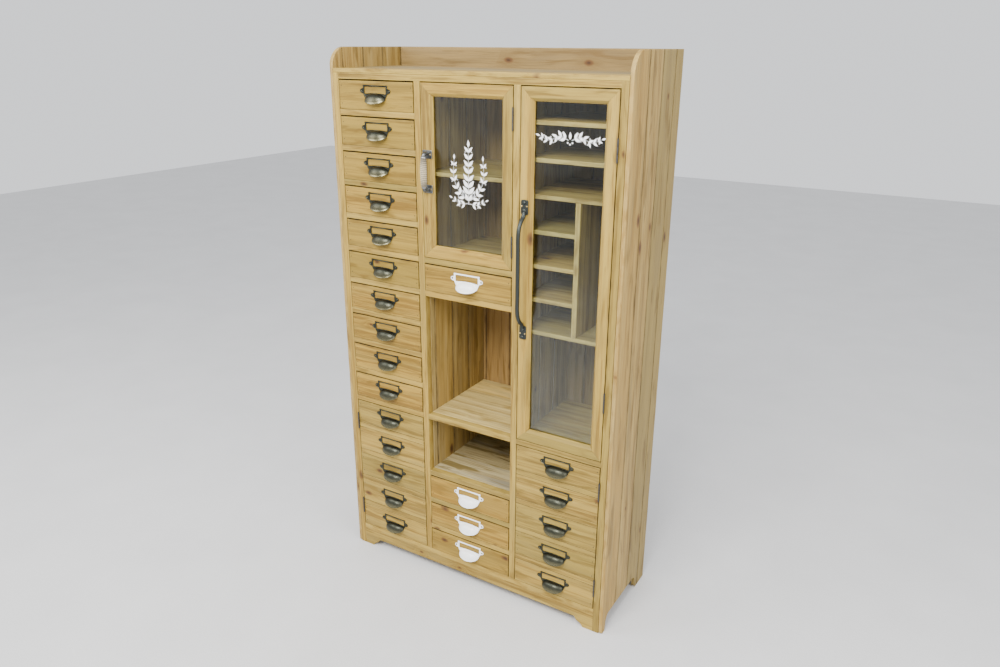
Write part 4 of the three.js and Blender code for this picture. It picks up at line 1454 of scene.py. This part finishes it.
def leaf(shell, at, length, turn, fullness=0.19):
    """A painted leaf: its half width is a power of a sine of the way along it, to a point at each end."""
    t = np.linspace(0, 1, 13)
    half = fullness * length * np.sin(math.pi * t**0.8) ** 1.3
    spine = length * t
    upper = np.stack([spine, half + 0.03 * MM], axis=1)
    lower = np.stack([spine[::-1], -half[::-1] - 0.03 * MM], axis=1)
    outline = np.concatenate([upper, lower])
    rotation = np.array([[math.cos(turn), -math.sin(turn)], [math.sin(turn), math.cos(turn)]])
    slab(shell, outline @ rotation.T, PAINT_DEPTH, at, rim=PAINT_RIM)


def berry(shell, at, radius):
    """A painted dot."""
    turn = np.linspace(0, math.tau, 14, endpoint=False)
    outline = radius * np.stack([np.cos(turn), np.sin(turn)], axis=1)
    slab(shell, outline, PAINT_DEPTH, at, rim=PAINT_RIM)


def spray(shell, points, leaves, size, thickness=1.5 * MM):
    """A painted spray: a ribbon stem along a curve, tapering to its tip, with pairs of leaves and a last one.

    The leaves grow shorter towards the tip and lean towards it. Every other pair has a berry on each side.
    """
    path = catmull(points, 60)
    heading = np.gradient(path, axis=0)
    heading /= np.linalg.norm(heading, axis=1)[:, None]
    side = np.stack([-heading[:, 2], np.zeros(len(path)), heading[:, 0]], axis=1)
    half = thickness * np.linspace(1, 0.4, len(path))[:, None] / 2
    front = np.array([0, -PAINT_DEPTH, 0])
    one, other = path + side * half, path - side * half
    shell.add(np.stack([one, other, other + front, one + front], axis=1), "pair")
    for k in range(leaves):
        share = (k + 0.7) / (leaves + 0.4)
        i = int(share * (len(path) - 1))
        turn = math.atan2(heading[i][2], heading[i][0])
        length = size * (1 - 0.4 * share)
        for way in (-1, 1):
            leaf(shell, path[i], length, turn + way * 0.72)
            if k % 2:
                lean = turn + way * 1.5
                spot = path[i] + length * 0.5 * np.array([math.cos(lean), 0, math.sin(lean)])
                berry(shell, spot, 1.5 * MM)
    leaf(shell, path[-1], size * 0.62, math.atan2(heading[-1][2], heading[-1][0]))


class CABINET_OT_glazed_doors(PieceOperator, bpy.types.Operator):
    """Glazed doors: mitred frames, panes, hinges and the painted leaves on the glass"""

    bl_idname = "cabinet.glazed_doors"
    bl_label = "Glazed doors"

    def build(self, sizes):
        """Both doors are built alike on their solids' boxes."""
        self.door(sizes, "middle", COLUMNS["middle"], row_bottom(MIDDLE_DOOR_ROW))
        self.door(sizes, "tall", COLUMNS["right"], MID_LEVEL)
        self.ornament()

    def door(self, sizes, label, span, bottom):
        """The frame's box is the opening less its clearances, and the pane lies in its rebate."""
        body = f"{label}_door"
        a = (span[0] + GAP_LEFT, FRONT, bottom + GAP_BELOW)
        b = (span[1] - GAP_RIGHT, FRONT + 20 * MM, row_top(1) - GAP_ABOVE)
        shell = Shell()
        door_frame(shell, (a, b), sizes, seed_of(label) + 9)
        wood_finish = [finishes["front"]]
        shell.place(f"{label}_glazed_frame", body, wood_finish, "front_wood", [f"{label}_door_frame"], 30)
        a, b = low(f"{label}_door_pane"), high(f"{label}_door_pane")
        shell = Shell()
        thick = (a[Y], b[Y])
        board(shell, UPRIGHT, (a[X], b[X]), thick, (a[Z], b[Z]), 1.1, radius=0.3 * MM, step=0.2)
        shell.place(f"{label}_glass", body, [finishes["glass"]], "glass", [f"{label}_door_pane"], 30)
        if label == "tall":
            hinges_for(body, (bottom + 193 * MM, bottom + 905 * MM))
        else:
            hinges_for(body, (bottom + 72 * MM, row_top(1) - 90 * MM))

    def ornament(self):
        """Sprays of leaves in white paint on both panes."""
        a, b = low("middle_door_pane"), high("middle_door_pane")
        x, y = (a[X] + b[X]) / 2, a[Y]
        foot = (a[Z] + b[Z]) / 2 - 82 * MM
        shell = Shell()
        spray(shell, [(x, y, foot), (x, y, foot + 80 * MM), (x, y, foot + 165 * MM)], 8, 34 * MM)
        branch = ([(5, 12), (34, 36), (52, 78), (50, 128)], 6, 25 * MM, 1.2 * MM)
        twig = ([(3, 2), (30, 0), (58, 14)], 3, 20 * MM, 1.1 * MM)
        for side in (-1, 1):
            for curve, leaves, size, thickness in (branch, twig):
                points = [(x + side * across * MM, y, foot + up * MM) for across, up in curve]
                spray(shell, points, leaves, size, thickness)
        shell.place("middle_glass_leaves", "middle_door", [finishes["paint"]], "enamel", (), 30)
        a, b = low("tall_door_pane"), high("tall_door_pane")
        x, y = (a[X] + b[X]) / 2, a[Y]
        height = b[Z] - 104 * MM
        shell = Shell()
        for side in (-1, 1):
            curve = [(5, 0), (32, 9), (62, -3), (92, 7)]
            points = [(x + side * across * MM, y, height + up * MM) for across, up in curve]
            spray(shell, points, 6, 22 * MM, 1.2 * MM)
        leaf(shell, (x, y, height + 2 * MM), 20 * MM, math.pi / 2)
        for k in (-1, 0, 1):
            berry(shell, (x + k * 7 * MM, y, height - (11 - 4 * abs(k)) * MM), 2.2 * MM)
        shell.place("tall_glass_leaves", "tall_door", [finishes["paint"]], "enamel", (), 30)


class CABINET_OT_cupboard_doors(PieceOperator, bpy.types.Operator):
    """Cupboard doors faced as five drawers with rails between them"""

    bl_idname = "cabinet.cupboard_doors"
    bl_label = "Cupboard doors"

    def build(self, sizes):
        """Nine boards across each door, with a groove at every meeting, on three upright boards behind."""
        for label in ("left", "right"):
            span = COLUMNS[label]
            x0, x1 = span[0] + GAP_LEFT, span[1] - GAP_RIGHT
            bottom, top = OPENING_BOTTOM + GAP_BELOW, row_top(UPPER_ROWS + 1) - GAP_ABOVE
            face, seam, rear = FRONT, FRONT + 14 * MM, FRONT + 18 * MM
            seed = seed_of(label + "cupboard")
            shell = Shell()
            levels = [bottom]
            for row in range(ALL_ROWS - 1, UPPER_ROWS, -1):
                levels += [row_bottom(row) - RAIL, row_bottom(row)]
            levels.append(top)
            pairs = list(zip(levels[:-1], levels[1:]))
            groove = 0.35 * MM
            for k, pair in enumerate(pairs):
                edges = (pair[0] + groove * (k > 0), pair[1] - groove * (k < len(pairs) - 1))
                # The grooves between the boards and the door's ends get painted shade and grime.
                board(
                    shell, LYING, edges, (face, seam), (x0, x1), seed + k * 2.7,
                    radius=SOFT_EDGE, ends=1.0 * MM, dark=(0.85, 0.85, 1.0),
                )
            edges = np.linspace(x0 + 0.5 * MM, x1 - 0.5 * MM, 4)
            for k, pair in enumerate(zip(edges[:-1], edges[1:])):
                board(
                    shell, UPRIGHT, pair, (seam, rear), (bottom, top), seed + 31 + k,
                    radius=0.6 * MM, slot=1,
                )
            for row in range(UPPER_ROWS + 1, ALL_ROWS + 1):
                brads(shell, (x0 + 8 * MM, x1 - 8 * MM), face, row_bottom(row), row_top(row))
            materials = [finishes["front"], finishes["inside"], finishes["hinge"]]
            body = f"{label}_cupboard_door"
            node = f"cupboard_door_{label}"
            shell.place(f"{label}_false_drawers", body, materials, "front_wood", [node])
            hinges_for(body, (bottom + 80 * MM, top - 80 * MM))


# ---------------------------------------------------------------------------------------------------------
# Handles
# ---------------------------------------------------------------------------------------------------------
def rounded_plate(width, height, corner):
    """Outline of a plate with round corners."""
    a = np.radians(np.arange(0, 90, 15))
    w, h = width / 2 - corner, height / 2 - corner
    arcs = []
    for k, (sx, sz) in enumerate(((1, 1), (-1, 1), (-1, -1), (1, -1))):
        t = a + k * math.pi / 2
        arcs.append(np.stack([sx * w + corner * np.cos(t), sz * h + corner * np.sin(t)], axis=1))
    return np.concatenate(arcs)


class CABINET_OT_iron_handle(PieceOperator, bpy.types.Operator):
    """Forged bar handle of the tall door, on two plates"""

    bl_idname = "cabinet.iron_handle"
    bl_label = "Iron handle"

    def build(self, sizes):
        """A round bar on a smooth curve, thinner at its ends. Each plate has two balls and two screws."""
        a, b = low("iron_handle"), high("iron_handle")
        x, face, centre = (a[X] + b[X]) / 2, b[Y], (a[Z] + b[Z]) / 2
        end = (b[Z] - a[Z]) / 2
        half_bar = sizes.bar / 2
        deepest = face - a[Y] - half_bar - 0.6 * MM
        shell = Shell()
        bend = [(34, 4.6), (41, 6.4), (49, 11), (61, 23), (79, 33)]
        upper = [(end - down * MM, out * MM) for down, out in bend] + [(end - 106 * MM, deepest)]
        lower = [(-z, out) for z, out in upper[::-1]]
        knots = upper + [(60 * MM, deepest - 0.5 * MM), (-60 * MM, deepest - 0.7 * MM)] + lower
        steps = 150
        path = catmull([(x, face - out, centre + z) for z, out in knots], steps)
        share = np.abs(np.linspace(-1, 1, steps))
        hammered = 0.04 * np.sin(share * 9) ** 2
        drawn_out = 0.30 * np.clip((share - 0.90) / 0.10, 0, 1)
        rod(shell, path, half_bar * (1 - hammered - drawn_out), 24)
        thick = 3 * MM
        plate_face = face - thick
        for side in (-1, 1):
            spot = (x, face, centre + side * (end - 21 * MM))
            slab(shell, rounded_plate(23 * MM, 42 * MM, 5 * MM), thick, spot, rim=0.9 * MM)
            for down, radius, rise in ((7.5, 5.4, 4.6), (30, 6.6, 5.4)):
                spot = (x, plate_face, centre + side * (end - down * MM))
                screw(shell, spot, radius * MM, rise * MM, slotted=False)
            for way in (-1, 1):
                spot = (x + way * 7.8 * MM, plate_face, centre + side * (end - 18 * MM))
                screw(shell, spot, 2.9 * MM, 1.9 * MM, slot=1, turn=way)
        materials = [finishes["iron"], finishes["brass"]]
        shell.place("bar_handle", "tall_door", materials, "iron", ["iron_handle"], 45)


class CABINET_OT_cord_handle(PieceOperator, bpy.types.Operator):
    """Cord-wound handle of the middle door, on two brackets"""

    bl_idname = "cabinet.cord_handle"
    bl_label = "Cord handle"

    def build(self, sizes):
        """The cord is one surface whose radius rises and falls once a turn along the grip, on a slant."""
        a, b = low("rope_handle"), high("rope_handle")
        x, face, centre = (a[X] + b[X]) / 2, b[Y], (a[Z] + b[Z]) / 2
        end = (b[Z] - a[Z]) / 2
        thickest, steps_per_turn = 10.2, 10
        reach = face - a[Y] - thickest * MM
        grip = end - 21 * MM
        thick = 2.2 * MM
        z = np.linspace(-grip, grip, sizes.turns * steps_per_turn + 1)
        bow = reach - 2.0 * MM * (z / grip) ** 2
        path = np.stack([np.full(len(z), x), face - bow, centre + z], axis=1)

        def wind(i, angle):
            return 0.80 + 0.20 * np.abs(np.sin(math.pi * (i / steps_per_turn) + angle / 2)) ** 0.8

        shell = Shell()
        rod(shell, path, (thickest - 1.9 * (z / grip) ** 2) * MM, 28, twist=wind)
        for side in (-1, 1):
            spot = (x, face, centre + side * (end - 13 * MM))
            slab(shell, rounded_plate(34 * MM, 25 * MM, 4 * MM), thick, spot, rim=0.7 * MM, slot=1)
            base = centre + side * (end - 11 * MM)
            tip = centre + side * (grip - 3 * MM)
            knots = [
                (x, face - 1 * MM, base),
                (x, face - 9 * MM, base + side * 1 * MM),
                (x, face - 18 * MM, base - side * 1 * MM),
                (x, face - reach + 1 * MM, tip + side * 4 * MM),
                (x, face - reach, tip),
            ]
            neck = catmull(knots, 26)
            rod(shell, neck, np.linspace(6.6, 5.0, len(neck)) * MM, slot=1)
            cap = centre + side * grip + np.array([-1.2, -0.6, 1.6, 3.4, 4.2]) * MM * side
            cap_path = np.stack([np.full(5, x), np.full(5, face - reach + 2 * MM), cap], axis=1)
            rod(shell, cap_path, np.array([7.4, 8.3, 8.4, 7.6, 5.0]) * MM, 24, slot=1)
            for way in (-1, 1):
                spot = (x + way * 12 * MM, face - thick, centre + side * (end - 13 * MM))
                screw(shell, spot, 2.8 * MM, 1.6 * MM, slot=2, turn=way + side)
        materials = [finishes["cord"], finishes["bracket"], finishes["brass"]]
        shell.place("wound_handle", "middle_door", materials, "rope", ["rope_handle"], 50)


# ---------------------------------------------------------------------------------------------------------
# Stage
# ---------------------------------------------------------------------------------------------------------
def area_light(name, place, aim, size, power, tint):
    """A square soft light at a place, facing a point."""
    lamp = bpy.data.lights.new(name, "AREA")
    lamp.energy = power
    lamp.size = size
    lamp.color = tint
    holder = bpy.data.objects.new(name, lamp)
    holder.location = place
    holder.rotation_euler = (Vector(aim) - Vector(place)).to_track_quat("-Z", "Y").to_euler()
    bpy.context.scene.collection.objects.link(holder)


class CABINET_OT_stage(PieceOperator, bpy.types.Operator):
    """Pale floor, soft lights, even surroundings and the camera"""

    bl_idname = "cabinet.stage"
    bl_label = "Stage"

    def build(self, sizes):
        """The floor is one pale square, and three soft lights stand in front of the cabinet."""
        scene = bpy.context.scene
        floor = bpy.data.meshes.new("floor")
        wide = 9.0
        corners = [(-wide, -wide, 0), (wide, -wide, 0), (wide, wide, 0), (-wide, wide, 0)]
        floor.from_pydata(corners, [], [(0, 1, 2, 3)])
        finish = Finish("pale_floor")
        place = finish.out(finish.node("TexCoord"), "Object")
        cloud = finish.noise(place, 3.0, 4.0, 0.6)
        nap = finish.noise(place, 160.0, 2.0, 0.7)
        tint = finish.mix(cloud * 0.5 + nap * 0.4, (0.54, 0.54, 0.545), (0.74, 0.74, 0.745))
        surface = finish.shader(Base_Color=tint, Roughness=0.9, Normal=finish.bump(nap, 0.002, 0.4))
        floor.materials.append(surface)
        ground = bpy.data.objects.new("floor", floor)
        scene.collection.objects.link(ground)
        world = bpy.data.worlds.new("surroundings")
        world.use_nodes = True
        background = world.node_tree.nodes["Background"]
        background.inputs["Color"].default_value = (0.95, 0.97, 1.0, 1)
        background.inputs["Strength"].default_value = 1.2
        scene.world = world
        area_light("window_light", (0.4, -2.7, 3.4), (0, 0, 0.8), 1.7, 220, (1.0, 0.99, 0.965))
        area_light("left_light", (-2.7, -2.3, 3.0), (0, 0, 0.5), 2.0, 85, (1.0, 0.99, 0.97))
        area_light("room_light", (3.1, -1.0, 2.2), (0.3, 0, 0.8), 2.2, 80, (1.0, 0.985, 0.95))
        self.camera(scene)

    def camera(self, scene):
        """The camera stands to the right at eye height. It turns by its heading, tilts down and rolls."""
        heading, tilt, roll = math.radians(30.96), math.radians(-20.05), math.radians(0.31)
        flat = math.cos(tilt)
        look = np.array([-math.sin(heading) * flat, math.cos(heading) * flat, math.sin(tilt)])
        right = np.array([math.cos(heading), math.sin(heading), 0.0])
        up = np.cross(right, look)
        turned = math.cos(roll) * right + math.sin(roll) * up
        upright = math.cos(roll) * up - math.sin(roll) * right
        camera = bpy.data.objects.new("camera", bpy.data.cameras.new("camera"))
        camera.data.sensor_width = 36
        camera.data.lens = 28.7
        camera.data.clip_start = 0.05
        columns = Matrix([turned, upright, -look]).transposed()
        camera.matrix_world = Matrix.Translation((1.28, -2.096, 1.777)) @ columns.to_4x4()
        scene.collection.objects.link(camera)
        scene.camera = camera


OPERATORS = (
    CABINET_OT_side_boards,
    CABINET_OT_back_boards,
    CABINET_OT_dividers,
    CABINET_OT_front_frame,
    CABINET_OT_apron,
    CABINET_OT_top,
    CABINET_OT_shelves,
    CABINET_OT_runners,
    CABINET_OT_drawers,
    CABINET_OT_pulls,
    CABINET_OT_glazed_doors,
    CABINET_OT_cupboard_doors,
    CABINET_OT_iron_handle,
    CABINET_OT_cord_handle,
    CABINET_OT_stage,
)


class CABINET_PT_panel(bpy.types.Panel):
    """Lists the pieces, their sizes and their colours"""

    bl_idname = "CABINET_PT_panel"
    bl_label = "Apothecary cabinet"
    bl_space_type = "VIEW_3D"
    bl_region_type = "UI"
    bl_category = "Cabinet"

    def draw(self, context):
        """Draws the sizes, the colours and a button for each operator."""
        for group in (context.scene.cabinet_sizes, context.scene.cabinet_colours):
            box = self.layout.box()
            for name in group.__annotations__:
                box.prop(group, name)
        for operator in OPERATORS:
            self.layout.operator(operator.bl_idname)


CLASSES = (CabinetSizes, CabinetColours, *OPERATORS, CABINET_PT_panel)


def register():
    """Registers the classes and hangs the property groups on the scene."""
    for cls in CLASSES:
        bpy.utils.register_class(cls)
    bpy.types.Scene.cabinet_sizes = bpy.props.PointerProperty(type=CabinetSizes)
    bpy.types.Scene.cabinet_colours = bpy.props.PointerProperty(type=CabinetColours)


def unregister():
    """Takes the property groups and the classes away again."""
    del bpy.types.Scene.cabinet_colours
    del bpy.types.Scene.cabinet_sizes
    for cls in reversed(CLASSES):
        bpy.utils.unregister_class(cls)


def main():
    """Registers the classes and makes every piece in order."""
    register()
    for operator in OPERATORS:
        group, name = operator.bl_idname.split(".")
        getattr(getattr(bpy.ops, group), name)()


if __name__ == "__main__":
    main()
